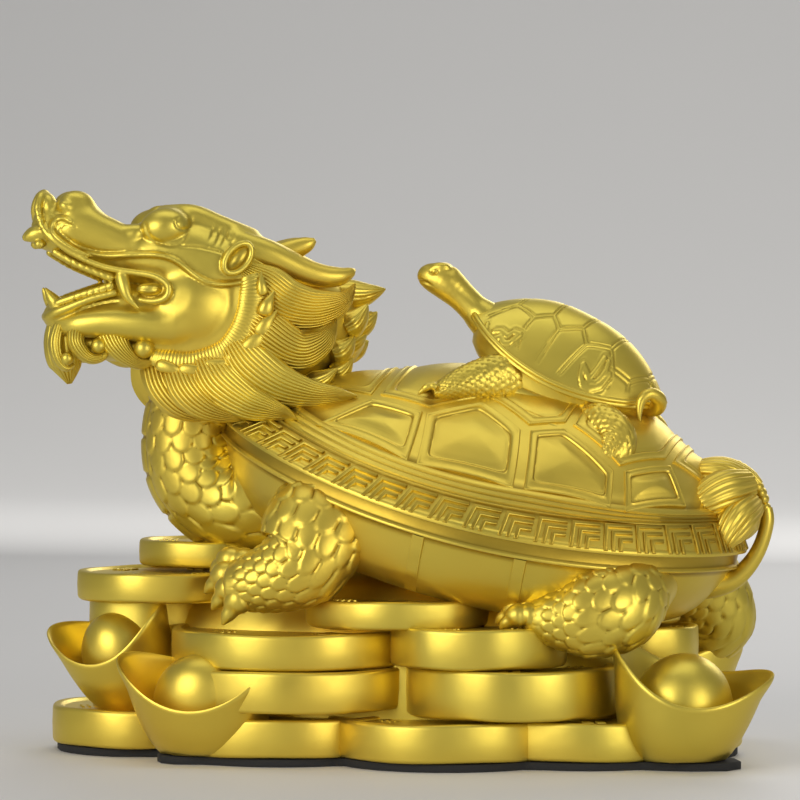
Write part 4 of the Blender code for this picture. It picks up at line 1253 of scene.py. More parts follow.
def smooth_join(first, second, blend):
    """The nearer of two distances with a rounded valley between them."""
    if blend <= 0.0:
        return np.minimum(first, second)
    share = np.clip(0.5 + 0.5 * (second - first) / blend, 0.0, 1.0)
    return second * (1.0 - share) + first * share - blend * share * (1.0 - share)


class Clay:
    """Half a block of clay on an even grid; forms are pressed on or carved, then it is mirrored."""

    def __init__(self, low, high, cell):
        self.cell = cell
        self.axes = [np.arange(base, top, cell) for base, top in zip(low, high)]
        self.field = np.full([len(axis) for axis in self.axes], 5.0)

    def window(self, low, high):
        """The part of the grid between two corners, and its points."""
        spans = []
        for axis, base, top in zip(self.axes, low, high):
            first = min(int(np.searchsorted(axis, base)), len(axis) - 1)
            last = int(np.searchsorted(axis, top, side="right"))
            spans.append(slice(first, max(last, first + 1)))
        return tuple(spans), np.meshgrid(*(axis[span] for axis, span in zip(self.axes, spans)),
                                         indexing="ij")

    def press(self, spans, distance, blend, carve):
        """Add a form to the clay there, or take it away."""
        here = self.field[spans]
        if carve:
            self.field[spans] = -smooth_join(-here, distance, blend)
        else:
            self.field[spans] = smooth_join(here, distance, blend)

    def blob(self, centre, sizes, blend=1.0, tilt=0.0, carve=False):
        """An ellipsoid; tilt turns it in the head's side view."""
        reach = max(sizes) + blend + 1.5
        spans, (f, s, z) = self.window([value - reach for value in centre],
                                       [value + reach for value in centre])
        f = f - centre[0]
        s = s - centre[1]
        z = z - centre[2]
        along = (f * math.cos(tilt) + z * math.sin(tilt)) / sizes[0]
        up = (z * math.cos(tilt) - f * math.sin(tilt)) / sizes[2]
        across = s / sizes[1]
        near = np.sqrt(along ** 2 + across ** 2 + up ** 2) + 1e-6
        slope = np.sqrt((along / sizes[0]) ** 2 + (across / sizes[1]) ** 2 + (up / sizes[2]) ** 2) + 1e-6
        self.press(spans, near * (near - 1.0) / slope, blend, carve)

    def tube(self, rows, blend=0.8, carve=False, count=26):
        """A round strip through rows of forward, side, height and radius."""
        table = smooth_rows(rows, count)
        reach = table[:, 3].max() + blend + 1.5
        spans, (f, s, z) = self.window(table[:, :3].min(0) - reach, table[:, :3].max(0) + reach)
        nearest = np.full(f.shape, 9.0)
        for start, end in zip(table[:-1], table[1:]):
            step = end - start
            share = (f - start[0]) * step[0] + (s - start[1]) * step[1] + (z - start[2]) * step[2]
            share = np.clip(share / max(step[:3] @ step[:3], 1e-6), 0.0, 1.0)
            away = np.sqrt((f - start[0] - share * step[0]) ** 2 + (s - start[1] - share * step[1]) ** 2
                           + (z - start[2] - share * step[2]) ** 2)
            nearest = np.minimum(nearest, away - start[3] - share * step[3])
        self.press(spans, nearest, blend, carve)

    def loft(self, sections, blend=1.0):
        """A loft along the head; a section is forward, top, bottom, half width and squareness."""
        table = smooth_rows(sections, 60)
        order = np.argsort(table[:, 0])
        table = table[order]
        spans, (f, s, z) = self.window((table[0, 0] - 3.0, 0.0, table[:, 2].min() - 3.0),
                                       (table[-1, 0] + 3.0, table[:, 3].max() + 3.0,
                                        table[:, 1].max() + 3.0))
        top, bottom, wide, square = (np.interp(f, table[:, 0], table[:, column]) for column in (1, 2, 3, 4))
        middle = (top + bottom) / 2.0
        half = np.maximum((top - bottom) / 2.0, 0.2)
        wide = np.maximum(wide, 0.2)
        gauge = (np.abs(s / wide) ** square + np.abs((z - middle) / half) ** square) ** (1.0 / square) + 1e-6
        ray = np.sqrt(s ** 2 + (z - middle) ** 2)
        inside = np.maximum(ray * (1.0 - 1.0 / gauge), -np.minimum(wide, half))
        beyond = np.maximum(f - table[-1, 0], table[0, 0] - f)
        self.press(spans, np.maximum(inside, beyond), blend, False)

    def line(self, rows, gain, sharp=2.0, above=4.0):
        """A ridge, or a groove where gain is negative; a row is forward, height and half width."""
        table = smooth_rows(rows, 40)
        reach = table[:, 2].max() + 0.5
        low = (table[:, 0].min() - reach, above, table[:, 1].min() - reach)
        high = (table[:, 0].max() + reach, 99.0, table[:, 1].max() + reach)
        spans, (f, s, z) = self.window(low, high)
        flat_f = f[:, 0, :]
        flat_z = z[:, 0, :]
        ratio = np.full(flat_f.shape, 9.0)
        width = np.ones(flat_f.shape)
        for start, end in zip(table[:-1], table[1:]):
            step = end - start
            share = (flat_f - start[0]) * step[0] + (flat_z - start[1]) * step[1]
            share = np.clip(share / max(step[:2] @ step[:2], 1e-6), 0.0, 1.0)
            away = np.hypot(flat_f - start[0] - share * step[0], flat_z - start[1] - share * step[1])
            here = np.maximum(start[2] + share * step[2], 0.05)
            closer = away / here < ratio
            ratio = np.where(closer, away / here, ratio)
            width = np.where(closer, here, width)
        lift = gain * width * np.clip(1.0 - ratio ** sharp, 0.0, 1.0)
        fade = ease(above, above + 2.0, s)
        self.field[spans] = self.field[spans] - lift[:, None, :] * fade

    def mesh_form(self, place, smoothing=2, mirrored=True):
        """The skin of the clay, also mirrored across the middle plane, moved into the frame."""
        field = self.field
        low = np.array([axis[0] for axis in self.axes])
        if mirrored:
            field = np.concatenate((field[:, :0:-1, :], field), 1)
            low[1] = -self.axes[1][-1]
        inside = field < 0.0
        counts = [size - 1 for size in field.shape]
        corner = {}
        total = np.zeros(counts, int)
        for i in (0, 1):
            for j in (0, 1):
                for k in (0, 1):
                    block = (slice(i, i + counts[0]), slice(j, j + counts[1]), slice(k, k + counts[2]))
                    corner[i, j, k] = block
                    total += inside[block]
        active = (total > 0) & (total < 8)
        number = np.full(counts, -1)
        number[active] = np.arange(active.sum())
        cells = np.argwhere(active)
        places = np.zeros((len(cells), 3))
        hits = np.zeros(len(cells))
        for axis in range(3):
            for start in corner:
                if start[axis]:
                    continue
                end = tuple(1 if index == axis else value for index, value in enumerate(start))
                first = field[corner[start]][active]
                second = field[corner[end]][active]
                crossed = (first < 0.0) != (second < 0.0)
                share = np.where(crossed, first / np.where(crossed, first - second, 1.0), 0.0)
                spot = np.array(start, float) + np.eye(3)[axis] * share[:, None]
                places += np.where(crossed[:, None], spot, 0.0)
                hits += crossed
        skin = low + (cells + places / hits[:, None]) * self.cell
        quads = []
        for axis in range(3):
            other = [index for index in range(3) if index != axis]
            here = np.moveaxis(inside, axis, 0)
            changed = here[:-1, 1:-1, 1:-1] != here[1:, 1:-1, 1:-1]
            leaving = here[:-1, 1:-1, 1:-1][changed]
            spots = np.argwhere(changed)
            cell = np.zeros((len(spots), 3), int)
            cell[:, axis] = spots[:, 0]
            cell[:, other[0]] = spots[:, 1] + 1
            cell[:, other[1]] = spots[:, 2] + 1
            loop = []
            for back_a, back_b in ((1, 1), (0, 1), (0, 0), (1, 0)):
                near = cell.copy()
                near[:, other[0]] -= back_a
                near[:, other[1]] -= back_b
                loop.append(number[near[:, 0], near[:, 1], near[:, 2]])
            faces = np.stack(loop, -1)
            flip = leaving if axis == 1 else ~leaving
            faces[flip] = faces[flip][:, ::-1]
            quads.append(faces)
        quads = np.concatenate(quads)
        quads = quads[(quads >= 0).all(1)]
        mesh = bpy.data.meshes.new("clay")
        mesh.from_pydata(place(skin).tolist(), [], quads.tolist())
        bm = bmesh.new()
        bm.from_mesh(mesh)
        bpy.data.meshes.remove(mesh)
        for _ in range(smoothing):
            bmesh.ops.smooth_vert(bm, verts=bm.verts, factor=0.5, use_axis_x=True, use_axis_y=True,
                                  use_axis_z=True)
        bmesh.ops.recalc_face_normals(bm, faces=bm.faces)
        return bm


def lock_form(stations, strands, rise, side_way, count=60, bulge=0.35):
    """A flat pointed lock of hair; a station is x, y, z, half thickness, half width."""
    limb = Limb(stations, side_way)
    outer = 0.84

    def place(u, v):
        front = u < outer
        x = np.where(front, 1.0 - 2.0 * u / outer, -1.0 + 2.0 * (u - outer) / (1.0 - outer))
        ridge = np.abs(np.sin(math.pi * strands * (x + 1.0) / 2.0)) ** 0.65
        share = np.where(front, 1.0, -1.0)
        read = np.stack([np.interp(v * limb.length, limb.lengths, column) for column in limb.table.T], -1)
        side = unit(read[:, 3:6])
        across = unit(read[:, 6:9])
        half_thick = read[:, 9]
        half_wide = read[:, 10]
        body = (1.0 - np.abs(x) ** 2.6) * half_thick * share
        fine = rise * ridge * front * np.clip(half_wide / 2.5, 0.0, 1.0)
        away = body + fine * (1.0 - np.abs(x) ** 9)
        swell = bulge * half_thick * (1.0 - np.abs(x)) * share
        return read[:, :3] + across * (x * half_wide)[:, None] + side * (away + swell)[:, None]

    return grid_form(max(28, int(strands * 7 / outer)), count, place)


class DRAGON_OT_head(Operator):
    """Model the mother's head: jaws, brows, lips, teeth, ears, collar and beard"""

    bl_idname = "dragon.head"
    bl_label = "Head"

    upper_lip = [(72.6, 0, 194.6, 1.4), (74.2, 3.0, 193.2, 1.4), (75.4, 5.2, 188.6, 1.4),
                 (73.6, 7.8, 182.0, 1.3),
                 (69.2, 11.0, 177.1, 1.2), (61.2, 13.6, 172.0, 1.1), (53.4, 15.8, 168.8, 1.1),
                 (44.6, 18.4, 167.1, 1.15),
                 (37.3, 20.8, 165.9, 1.25), (33.0, 22.4, 163.3, 1.3), (32.2, 22.8, 160.5, 1.3),
                 (33.8, 22.4, 157.9, 1.25),
                 (37.6, 21.2, 157.0, 1.1), (42.0, 19.8, 157.6, 0.8)]
    ridge = [(64.6, 184.2, 0.6), (67.5, 185.9, 0.9), (70.3, 184.8, 1.1), (71.0, 181.6, 1.2),
             (68.3, 178.2, 1.25),
             (61.5, 174.2, 1.2), (53.3, 172.5, 1.2), (46.6, 172.8, 1.2), (39.6, 173.2, 1.2),
             (33.3, 172.6, 1.2),
             (28.6, 170.6, 1.2), (22.5, 165.7, 1.2), (17.3, 163.3, 1.2), (11.3, 163.0, 1.15),
             (5.6, 164.0, 0.8)]

    def execute(self, context):
        clay = Clay((-22.0, 0.0, 124.0), (83.0, 31.0, 200.0), 0.45)
        self.press_masses(clay)
        self.press_mouth(clay)
        self.press_lines(clay)
        self.press_ear(clay)
        skin = thinned(clay.mesh_form(head_points), 120000)
        gold_piece([skin], "head", spread=8, depth=0.5)
        gold_piece(self.beard_forms() + self.collar_forms(), "beard_and_collar", spread=6, depth=0.4)
        return {"FINISHED"}

    def press_masses(self, clay):
        """The large forms: skull and snout, lower jaw, cheeks, brows and nose."""
        clay.loft([(77.0, 184, 178, 1.5, 2.0), (75.2, 188.6, 176.0, 4.6, 2.1), (72, 190.0, 174.6, 8.0, 2.2),
                   (68.6, 190.2, 173.2, 10.6, 2.3), (65.5, 191.4, 171.8, 11.8, 2.3),
                   (62, 193.5, 170, 12.2, 2.2),
                   (57, 192.6, 168, 12.8, 2.2), (50, 186, 165.5, 13.8, 2.2), (43, 183, 162.5, 15.8, 2.2),
                   (34, 186.5, 158, 18.8, 2.2), (22, 187.8, 152, 21.5, 2.2), (8, 182.8, 146, 23, 2.1),
                   (-6, 177.0, 138, 22, 2.0), (-18, 172, 134, 16, 2.0)])
        clay.loft([(72.6, 154.0, 149.6, 2.6, 2.2), (70.6, 156.3, 147.5, 6.6, 2.4),
                   (66, 157.6, 145.6, 10.4, 2.5),
                   (58, 160, 144.6, 12.8, 2.5), (50, 162.6, 143.6, 15.2, 2.4), (40, 164, 141.5, 18, 2.3),
                   (25, 163, 136, 20.5, 2.2), (8, 157, 131, 20, 2.0)], 0.5)
        clay.tube([(66.0, 6.5, 147.8, 3.4), (61, 10.0, 149.0, 4.7), (52, 13, 149.8, 5.4),
                   (42, 15.2, 149.2, 6.2),
                   (30, 16.5, 148.5, 7.2)], 1.5)
        clay.blob((20.5, 13.5, 154.5), (17.5, 11.8, 15.8), 3.0)
        clay.blob((32.0, 13.4, 182.6), (8.9, 7.2, 6.8), 0.5, math.radians(-6))
        clay.tube([(31, 9, 186.5, 4.0), (22, 9.5, 185.8, 4.8), (13, 10.5, 182.0, 5.0),
                   (3, 11.5, 177.5, 5.4)], 2.5)
        clay.blob((42.0, 11.6, 180.6), (3.5, 3.6, 3.2), 0.5)
        clay.tube([(5, 19.6, 166, 3.6), (5.2, 19.6, 160, 4.6), (7.0, 19.8, 152, 5.2), (11.0, 19.2, 145, 5.2),
                   (17, 17.6, 141.0, 5.0), (26, 16.0, 140.0, 4.6), (36, 13.6, 141.0, 3.8)], 3.0)
        clay.blob((62.2, 5.0, 190.4), (6.4, 5.0, 5.0), 2.0)
        clay.blob((66.2, 8.6, 189.6), (2.9, 2.6, 2.4), 1.2)
        clay.tube([(62, 7, 184, 5.2), (52, 8.5, 180.5, 5.6), (45, 10, 177.5, 5.0)], 3.0)
        clay.tube([(7, 14, 177, 5.4), (-4, 15.5, 173, 5.2), (-12, 16.5, 169.6, 4.6)], 1.5)

    def press_mouth(self, clay):
        """Lips, the open corner of the mouth, tongue, gums and teeth."""
        clay.blob((71.4, 0.0, 189.6), (3.4, 5.0, 5.0), 1.6)
        clay.blob((71.0, 12.8, 187.0), (4.0, 4.6, 4.4), 2.0, math.radians(-30), True)
        clay.tube([(50, 18.0, 170.4, 0.8), (42, 22.0, 170.0, 1.7), (34.0, 25.6, 169.0, 2.4),
                   (29.0, 27.4, 164.6, 2.6),
                   (28.6, 27.6, 158.6, 2.4), (32.0, 26.2, 154.6, 1.9), (38.0, 23.6, 153.4, 1.1)], 3.0, True)
        clay.blob((38.2, 22.6, 161.3), (5.4, 7.0, 3.6), 0.6, math.radians(4), True)
        clay.tube(self.upper_lip, 1.3, count=44)
        clay.blob((38.0, 17.0, 161.2), (4.8, 3.4, 2.3), 0.3)
        clay.line([(42.0, 161.6, 0.5), (38.0, 161.4, 0.6), (34.6, 161.0, 0.4)], -0.9, 2.0, 12.0)
        clay.tube([(71.4, 0.0, 151.6, 1.9), (71.4, 3.6, 151.7, 1.8), (69.6, 7.8, 153.0, 1.6),
                   (65.2, 10.8, 154.9, 1.5),
                   (58.1, 13.2, 157.8, 1.4), (50.0, 15.4, 160.0, 1.2)], 0.4)
        clay.tube([(47.6, 16.4, 165.2, 2.5), (47.0, 17.8, 162.0, 2.3), (45.8, 19.0, 158.4, 1.6),
                   (42.4, 20.4, 154.6, 0.45)], 0.25)
        clay.tube([(72.5, 3.4, 181.0, 3.6), (76.0, 3.4, 180.2, 2.8), (78.6, 3.0, 179.2, 1.5)], 0.3)
        clay.blob((74.8, 5.4, 176.8), (2.0, 1.8, 1.8), 0.3)
        clay.tube([(68.4, 5.4, 155.4, 2.9), (70.6, 4.4, 158.2, 2.0), (72.6, 3.6, 161.3, 0.6)], 0.3)
        clay.tube([(69.6, 8.4, 174.0, 1.5), (62.0, 11.2, 169.6, 1.5), (51.4, 14.2, 165.2, 1.5)], 0.3)
        clay.tube([(68.6, 7.4, 156.4, 1.4), (61.0, 10.6, 159.2, 1.4), (51.0, 14.2, 162.4, 1.4)], 0.3)
        for step in range(7):
            share = step / 6.0
            clay.line([(67.0 - 14.0 * share, 173.6 - 6.2 * share, 0.3),
                       (66.6 - 14.0 * share, 169.8 - 5.4 * share, 0.3)],
                      -0.9)
            clay.line([(65.0 - 12.4 * share, 156.6 + 3.4 * share, 0.25),
                       (65.2 - 12.4 * share, 159.2 + 3.8 * share, 0.3)],
                      -0.8)

    def press_lines(self, clay):
        """Moulded ridges, brow creases, wrinkles and the fine lines beside the lips."""
        clay.line(self.ridge, 1.1, 2.6)
        inner = [(63.0, 182.6, 0.35), (66.6, 183.6, 0.4), (68.4, 181.4, 0.4), (66.2, 179.4, 0.4),
                 (60.8, 176.1, 0.4),
                 (53.3, 174.4, 0.4), (46.6, 174.7, 0.35), (40.5, 175.0, 0.3)]
        clay.line(inner, -1.1)
        clay.line([(39.5, 184.0, 0.5), (38.6, 180.6, 0.6), (35.5, 177.6, 0.7), (30.4, 176.2, 0.7),
                   (26.4, 177.8, 0.7),
                   (24.4, 182.0, 0.5)], -0.6, 2.0, 8.0)
        clay.line([(28.4, 185.6, 0.35), (29.6, 184.3, 0.5), (28.9, 182.7, 0.55), (26.8, 181.8, 0.55),
                   (24.6, 182.3, 0.35)], -0.9, 2.0, 8.0)
        clay.line([(27.4, 176.0, 0.5), (21.2, 175.7, 0.6), (13.6, 173.8, 0.5)], -1.0, 2.0, 12.0)
        for start, end in (((15.1, 182.9), (17.9, 177.3)), ((12.7, 182.4), (15.9, 175.8)),
                           ((10.6, 182.0), (13.6, 175.6)),
                           ((8.7, 181.2), (11.0, 177.4))):
            middle = ((start[0] + end[0]) / 2.0 - 0.5, (start[1] + end[1]) / 2.0)
            clay.line([(*start, 0.3), (*middle, 0.75), (*end, 0.3)], -0.55, 2.0, 8.0)
        clay.line([(71.4, 149.2, 0.5), (67.5, 151.2, 0.6), (61.2, 153.8, 0.6), (54.1, 156.0, 0.6),
                   (49.0, 156.8, 0.5)],
                  -1.0, 2.0, 5.0)
        for step in range(6):
            turn = math.radians(150 - 26 * step)
            start = (70.6 + 0.8 * math.cos(turn), 186.6 + 0.8 * math.sin(turn))
            end = (70.6 + 6.5 * math.cos(turn - 1.2), 186.6 + 6.0 * math.sin(turn - 1.2))
            clay.line([(*start, 0.3), (*end, 0.4)], -0.8, 2.0, 5.0)

    def press_ear(self, clay):
        """The round cupped ear."""
        middle = np.array((8.4, 24.6, 171.9))
        long = np.array((-0.66, -0.05, 0.75))
        wide = np.array((0.75, 0.1, 0.66))
        clay.blob(tuple(middle + (0.0, -2.2, 0.0)), (7.0, 3.6, 4.6), 0.6, math.radians(131))
        clay.blob(tuple(middle + (0.0, 2.2, 0.0)), (6.0, 4.6, 3.5), 0.4, math.radians(131), True)
        ring = []
        for step in range(21):
            angle = TAU * step / 20.0
            spot = middle + long * 6.1 * math.cos(angle) + wide * 3.7 * math.sin(angle)
            ring.append((*spot, 1.15))
        clay.tube(ring, 0.25, count=48)

    def beard_forms(self):
        """The curled beard and the balls under the jaw."""
        rise = bpy.context.scene.casting_sizes.hair_rise * 0.8
        forms = []
        chin = [(67.5, 0, 151, 6.4, 3.4), (66.8, 0, 145, 7.8, 5.6), (66.0, 0, 138.4, 7.8, 6.0),
                (64.8, 0, 134, 5.8, 4.8),
                (63.9, 0, 128.2, 0.5, 0.5)]
        forms.append(limb_form(head_rows(chin, 1.0), 120, 50, tuft_relief(20, rise * 0.8),
                               self.side_way(1.0)))
        floor = [(66, 0, 142, 7, 4), (58, 0, 142, 10.5, 5), (44, 0, 141, 14, 5.5), (32, 0, 139, 15, 6),
                 (26, 0, 138, 8, 4)]
        forms.append(limb_form(head_rows(floor, 1.0), 40, 24, None, self.side_way(1.0)))
        locks = [([(68.2, 6.2, 148.5, 2.0, 2.2), (69.4, 6.8, 143.0, 2.4, 2.8), (68.6, 7.2, 137.6, 2.2, 2.5),
                   (66.0, 7.4, 134.2, 1.8, 1.7), (63.4, 7.0, 135.0, 1.2, 0.8)], 5),
                 ([(62.8, 10.6, 147.2, 1.8, 3.0), (63.0, 11.8, 143.0, 2.4, 3.2),
                   (60.6, 12.6, 139.0, 2.4, 2.6),
                   (57.2, 12.8, 137.2, 2.0, 2.0), (53.6, 12.8, 138.0, 1.6, 1.4),
                   (52.2, 12.6, 141.0, 1.0, 0.8)], 6),
                 ([(51.0, 12.8, 147.0, 1.8, 5.4), (49.4, 14.4, 142.6, 2.4, 5.0),
                   (46.4, 15.6, 138.6, 2.4, 3.6),
                   (42.4, 16.4, 135.8, 2.0, 2.4), (38.4, 16.6, 135.8, 1.6, 1.6),
                   (36.0, 16.6, 138.4, 1.0, 0.9)], 9)]
        balls = [((65.9, 10.2, 137.2), 2.3), ((55.4, 13.6, 141.6), 2.8), ((40.2, 17.4, 140.6), 3.5)]
        for side in (1.0, -1.0):
            for stations, strands in locks:
                rows = head_rows(stations, side)
                forms.append(lock_form(rows, strands, rise, self.side_way(side), 36))
            for centre, radius in balls:
                spot = head_points(np.array((centre[0], side * centre[1], centre[2])))
                forms.append(ball(tuple(spot), (radius, radius, radius), 24, 14))
        return forms

    def side_way(self, side):
        """The direction out of one side of the head."""
        return (side * math.sin(HEAD_TURN), -side * math.cos(HEAD_TURN), 0.0)

    def collar_forms(self):
        """The band behind the cheeks with lines across it and pointed lumps along its edge."""
        forms = []
        band = [(4.4, 23.6, 166.0, 1.6, 3.0), (3.0, 24.8, 161.0, 2.2, 4.8), (3.6, 25.6, 152.4, 2.4, 5.6),
                (6.6, 25.4, 144.6, 2.4, 5.8), (12.6, 24.2, 138.6, 2.4, 5.2), (23.0, 21.8, 135.8, 2.4, 4.0),
                (32.0, 19.2, 136.4, 2.2, 3.6), (37.4, 17.0, 138.0, 1.4, 2.8)]
        lumps = [((2.6, 25.0, 166.6), (-0.4, 26.6, 159.0), 1.5),
                 ((-1.4, 27.0, 160.4), (-0.2, 27.8, 152.0), 2.2),
                 ((-2.4, 27.6, 154.4), (1.6, 27.6, 145.0), 2.4),
                 ((-1.2, 27.4, 149.0), (6.6, 26.8, 139.4), 2.6),
                 ((3.0, 26.8, 142.0), (13.0, 25.4, 135.6), 2.3),
                 ((9.0, 25.8, 137.6), (21.0, 23.8, 133.8), 2.2),
                 ((17.0, 24.2, 134.4), (29.0, 21.4, 133.2), 2.0),
                 ((25.0, 22.0, 133.6), (36.4, 18.8, 135.2), 1.9)]
        for side in (1.0, -1.0):
            rows = head_rows(band, side)
            forms.append(limb_form(rows, 36, 220,
                                   lambda along, around: 0.16 * np.abs(np.sin(math.pi * along / 1.3)),
                                   self.side_way(side)))
            for start, end, radius in lumps:
                start = np.array(start)
                end = np.array(end)
                stations = []
                for share, girth in ((0.0, 0.06), (0.2, 0.4), (0.5, 0.85), (0.78, 1.0), (0.93, 0.8),
                                     (1.0, 0.3)):
                    spot = start + (end - start) * share
                    away = unit(spot[[0, 2]] - (20.0, 158.0)) * 2.4 * (1.0 - share) ** 2
                    spot = spot + np.array((away[0], 1.0 + 0.8 * math.sin(math.pi * share), away[1]))
                    stations.append((*spot, radius * girth * 0.75, radius * girth * 1.2))
                forms.append(limb_form(head_rows(stations, side), 24, 26, None, self.side_way(side)))
        return forms


class DRAGON_OT_mane(Operator):
    """Model the mane: grooved locks swept back over the shell, spikes and horns"""

    bl_idname = "dragon.mane"
    bl_label = "Mane and horns"

    locks = [
        ([(8, 20, 168.5, 2.0, 3.5), (-0.9, 22.5, 161.8, 2.4, 8.5), (-8.3, 25, 156.6, 2.8, 8.4),
          (-16.4, 25, 154.5, 2.8, 7.4),
          (-23.9, 24, 155.3, 2.6, 5.6), (-29.4, 23.4, 157.8, 2.0, 3.2), (-33.2, 21.8, 163.0, 0.4, 0.4)], 14),
        ([(6, 23.6, 152, 1.6, 5.4), (0, 26.6, 147.2, 2.4, 8.0), (-7.6, 28.8, 141.6, 2.8, 7.6),
          (-13.6, 28.8, 139.9, 2.8, 6.6),
          (-19.6, 27.3, 142.2, 2.4, 4.8), (-23.2, 26.4, 145.8, 1.8, 3.0), (-26.0, 25, 151, 0.4, 0.4)], 12),
        ([(10.5, 23.6, 144.0, 1.6, 5.6), (5, 29.0, 136.0, 2.4, 8.2), (-3.8, 32.6, 129.0, 2.8, 7.4),
          (-14, 34.8, 125.6, 2.6, 5.2),
          (-23.4, 38.2, 124.8, 2.0, 3.0), (-30.4, 41.2, 124.6, 0.3, 0.3)], 11),
        ([(20, 21.6, 138.5, 1.6, 6.0), (15.6, 27.4, 130.0, 2.4, 8.0), (7, 32.2, 123.0, 2.8, 6.6),
          (-1.1, 35.4, 120.0, 2.4, 4.2),
          (-6, 37.8, 118.5, 1.8, 2.4), (-9.4, 41, 116.5, 0.3, 0.3)], 11),
        ([(29, 17.6, 137.0, 1.6, 5.6), (25.8, 23.4, 127.6, 2.6, 7.0), (19.8, 26.8, 121.2, 2.6, 5.6),
          (11.6, 29, 117.8, 1.8, 2.6), (5, 30.2, 116.6, 0.3, 0.3)], 10),
        ([(35.5, 13.0, 137.4, 1.6, 5.2), (33.4, 17.4, 128.6, 2.6, 6.4), (28.8, 20.4, 122.0, 2.6, 5.4),
          (23.0, 22.2, 118.2, 2.0, 3.0), (16.5, 23.6, 116.6, 0.3, 0.3)], 9),
        ([(34.5, 5, 138.0, 1.8, 6.0), (32.6, 8.6, 129.6, 2.8, 6.8), (28.4, 11.4, 122.2, 2.8, 5.6),
          (22.6, 13.8, 117.8, 2.0, 3.0), (16.5, 15.4, 116.0, 0.3, 0.3)], 9),
    ]
    leaves = [((-28, 6, 160, 5.5), (-47, 6, 161.2)), ((-31, 13, 147.4, 5.0), (-39.6, 12, 156.0)),
              ((-35, 6, 148.0, 4.6), (-44.2, 5, 153.2)), ((-30, 8, 142.6, 4.8), (-40.4, 6, 146.0)),
              ((-26, 15, 138.6, 5.0), (-34.4, 14, 145.0)), ((-26, 14, 131.6, 4.2), (-33.8, 14, 137.2)),
              ((-15.6, 22, 128.6, 4.0), (-26.8, 22, 133.8)), ((-26, 8, 132.0, 4.6), (-34, 8, 139.0)),
              ((-24, 12, 129.0, 3.2), (-33.2, 12, 132.6)), ((-32, 0, 140.0, 5.0), (-42, 0, 143.0))]

    def execute(self, context):
        rise = context.scene.casting_sizes.hair_rise
        core = [(14, 0, 152, 17, 20), (2, 0, 152, 22, 26), (-10, 0, 149, 23, 26), (-22, 0, 146, 19, 22),
                (-32, 0, 142, 13, 14), (-38, 0, 138, 4, 5)]
        throat = [(30, 0, 142, 12, 8), (28, 0, 131, 15, 9), (23, 0, 124, 18, 10), (14, 0, 122, 20, 10),
                  (4, 0, 125, 20, 12)]
        way = (math.sin(HEAD_TURN), -math.cos(HEAD_TURN), 0.0)
        forms = [limb_form(head_rows(core, 1.0), 60, 40, None, way),
                 limb_form(head_rows(throat, 1.0), 50, 40, None, way)]
        horn = [(6, 15, 176.4, 5.0, 5.4), (-4, 16.4, 172.8, 4.8, 5.2), (-14, 17.2, 168.2, 4.3, 4.6),
                (-22, 17.6, 165.8, 3.9, 4.1), (-28.5, 17.4, 165.6, 3.2, 3.3), (-33.0, 16.8, 167.2, 1.6, 1.7),
                (-34.2, 16.6, 168.0, 0.4, 0.4)]
        stub = [(-8, 6, 172.6, 4.6, 4.4), (-14, 7.4, 175.0, 3.6, 3.8), (-19.0, 8.6, 177.0, 2.4, 2.6),
                (-21.4, 9.2, 178.4, 0.8, 0.8)]
        for side in (1.0, -1.0):
            outward = (side * way[0], side * way[1], 0.0)
            for stations, strands in self.locks:
                forms.append(lock_form(head_rows(stations, side), strands, rise, outward, 44))
            for path in (horn, stub):
                forms.append(limb_form(head_rows(path, side), 32, 40, None, outward))
            for base, tip in self.leaves:
                stations = self.leaf_rows(base, tip)
                if base[1] > 0 or side > 0:
                    forms.append(lock_form(head_rows(stations, side), 5, rise * 0.5, outward, 24))
        gold_piece(forms, "mane", 150000, spread=6, depth=0.4)
        return {"FINISHED"}

    def leaf_rows(self, base, tip):
        """A short pointed leaf of hair that bends up to its tip."""
        start = np.array(base[:3], float)
        end = np.array(tip, float)
        rows = []
        for share, girth in ((0.0, 0.7), (0.3, 1.0), (0.6, 0.8), (0.85, 0.4), (1.0, 0.06)):
            spot = start + (end - start) * share + np.array((0.0, 0.0, -1.4 * math.sin(math.pi * share)))
            rows.append((*spot, base[3] * girth * 0.55, base[3] * girth))
        return rows


PIECES = (DRAGON_OT_shell, DRAGON_OT_neck, DRAGON_OT_legs, DRAGON_OT_heap, DRAGON_OT_pad, DRAGON_OT_tail,
          DRAGON_OT_small_turtle, DRAGON_OT_head, DRAGON_OT_mane)
CLASSES = (CastingSizes, CastingFinish, StudioLight, DRAGON_OT_stage, *PIECES)


class DRAGON_PT_sidebar(Panel):
    """Sizes, finish and the operators in the 3D view's sidebar."""

    bl_label = "Dragon Turtle"
    bl_idname = "DRAGON_PT_sidebar"
    bl_space_type = "VIEW_3D"
    bl_region_type = "UI"
    bl_category = "Dragon Turtle"

    def draw(self, context):
        layout = self.layout
        for group in (context.scene.casting_sizes, context.scene.casting_finish, context.scene.studio_light):
            box = layout.box()
            for key in group.__annotations__:
                box.prop(group, key)
        for operator in (DRAGON_OT_stage, *PIECES):
            layout.operator(operator.bl_idname)


def register():
    """Register the classes and hang the settings on the scene."""
    for kind in (*CLASSES, DRAGON_PT_sidebar):
        bpy.utils.register_class(kind)
    bpy.types.Scene.casting_sizes = PointerProperty(type=CastingSizes)
    bpy.types.Scene.casting_finish = PointerProperty(type=CastingFinish)
    bpy.types.Scene.studio_light = PointerProperty(type=StudioLight)


def unregister():
    """Take the settings and the classes away again."""
    del bpy.types.Scene.studio_light
    del bpy.types.Scene.casting_finish
    del bpy.types.Scene.casting_sizes
    for kind in reversed((*CLASSES, DRAGON_PT_sidebar)):
        bpy.utils.unregister_class(kind)


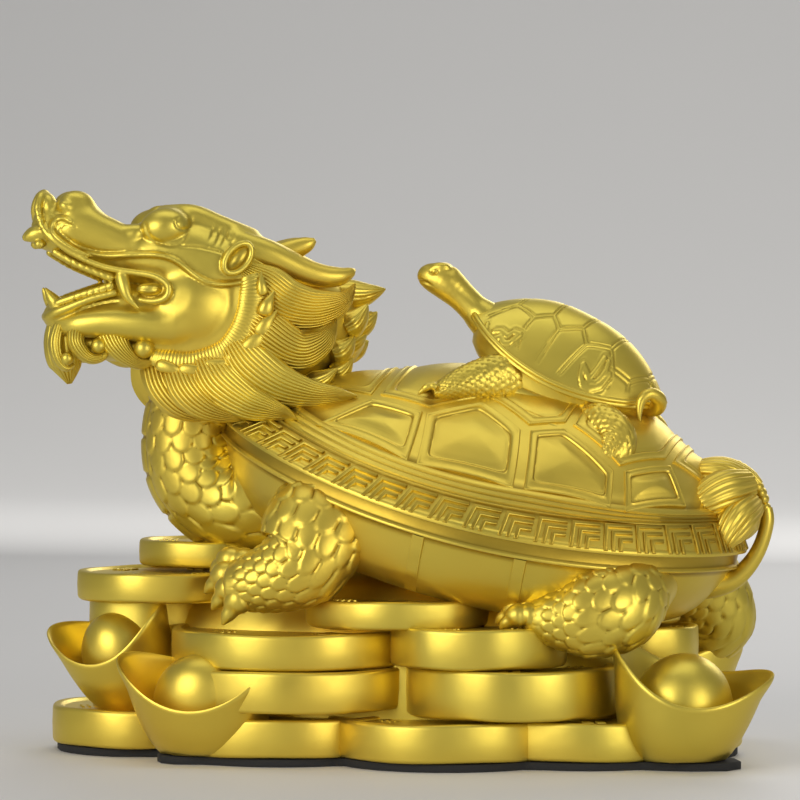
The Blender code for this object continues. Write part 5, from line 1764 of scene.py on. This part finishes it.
def main():
    """Build every piece and the stage."""
    register()
    bpy.ops.dragon.stage()
    for operator in PIECES:
        group, name = operator.bl_idname.split(".")
        getattr(getattr(bpy.ops, group), name)()


if __name__ == "__main__":
    main()
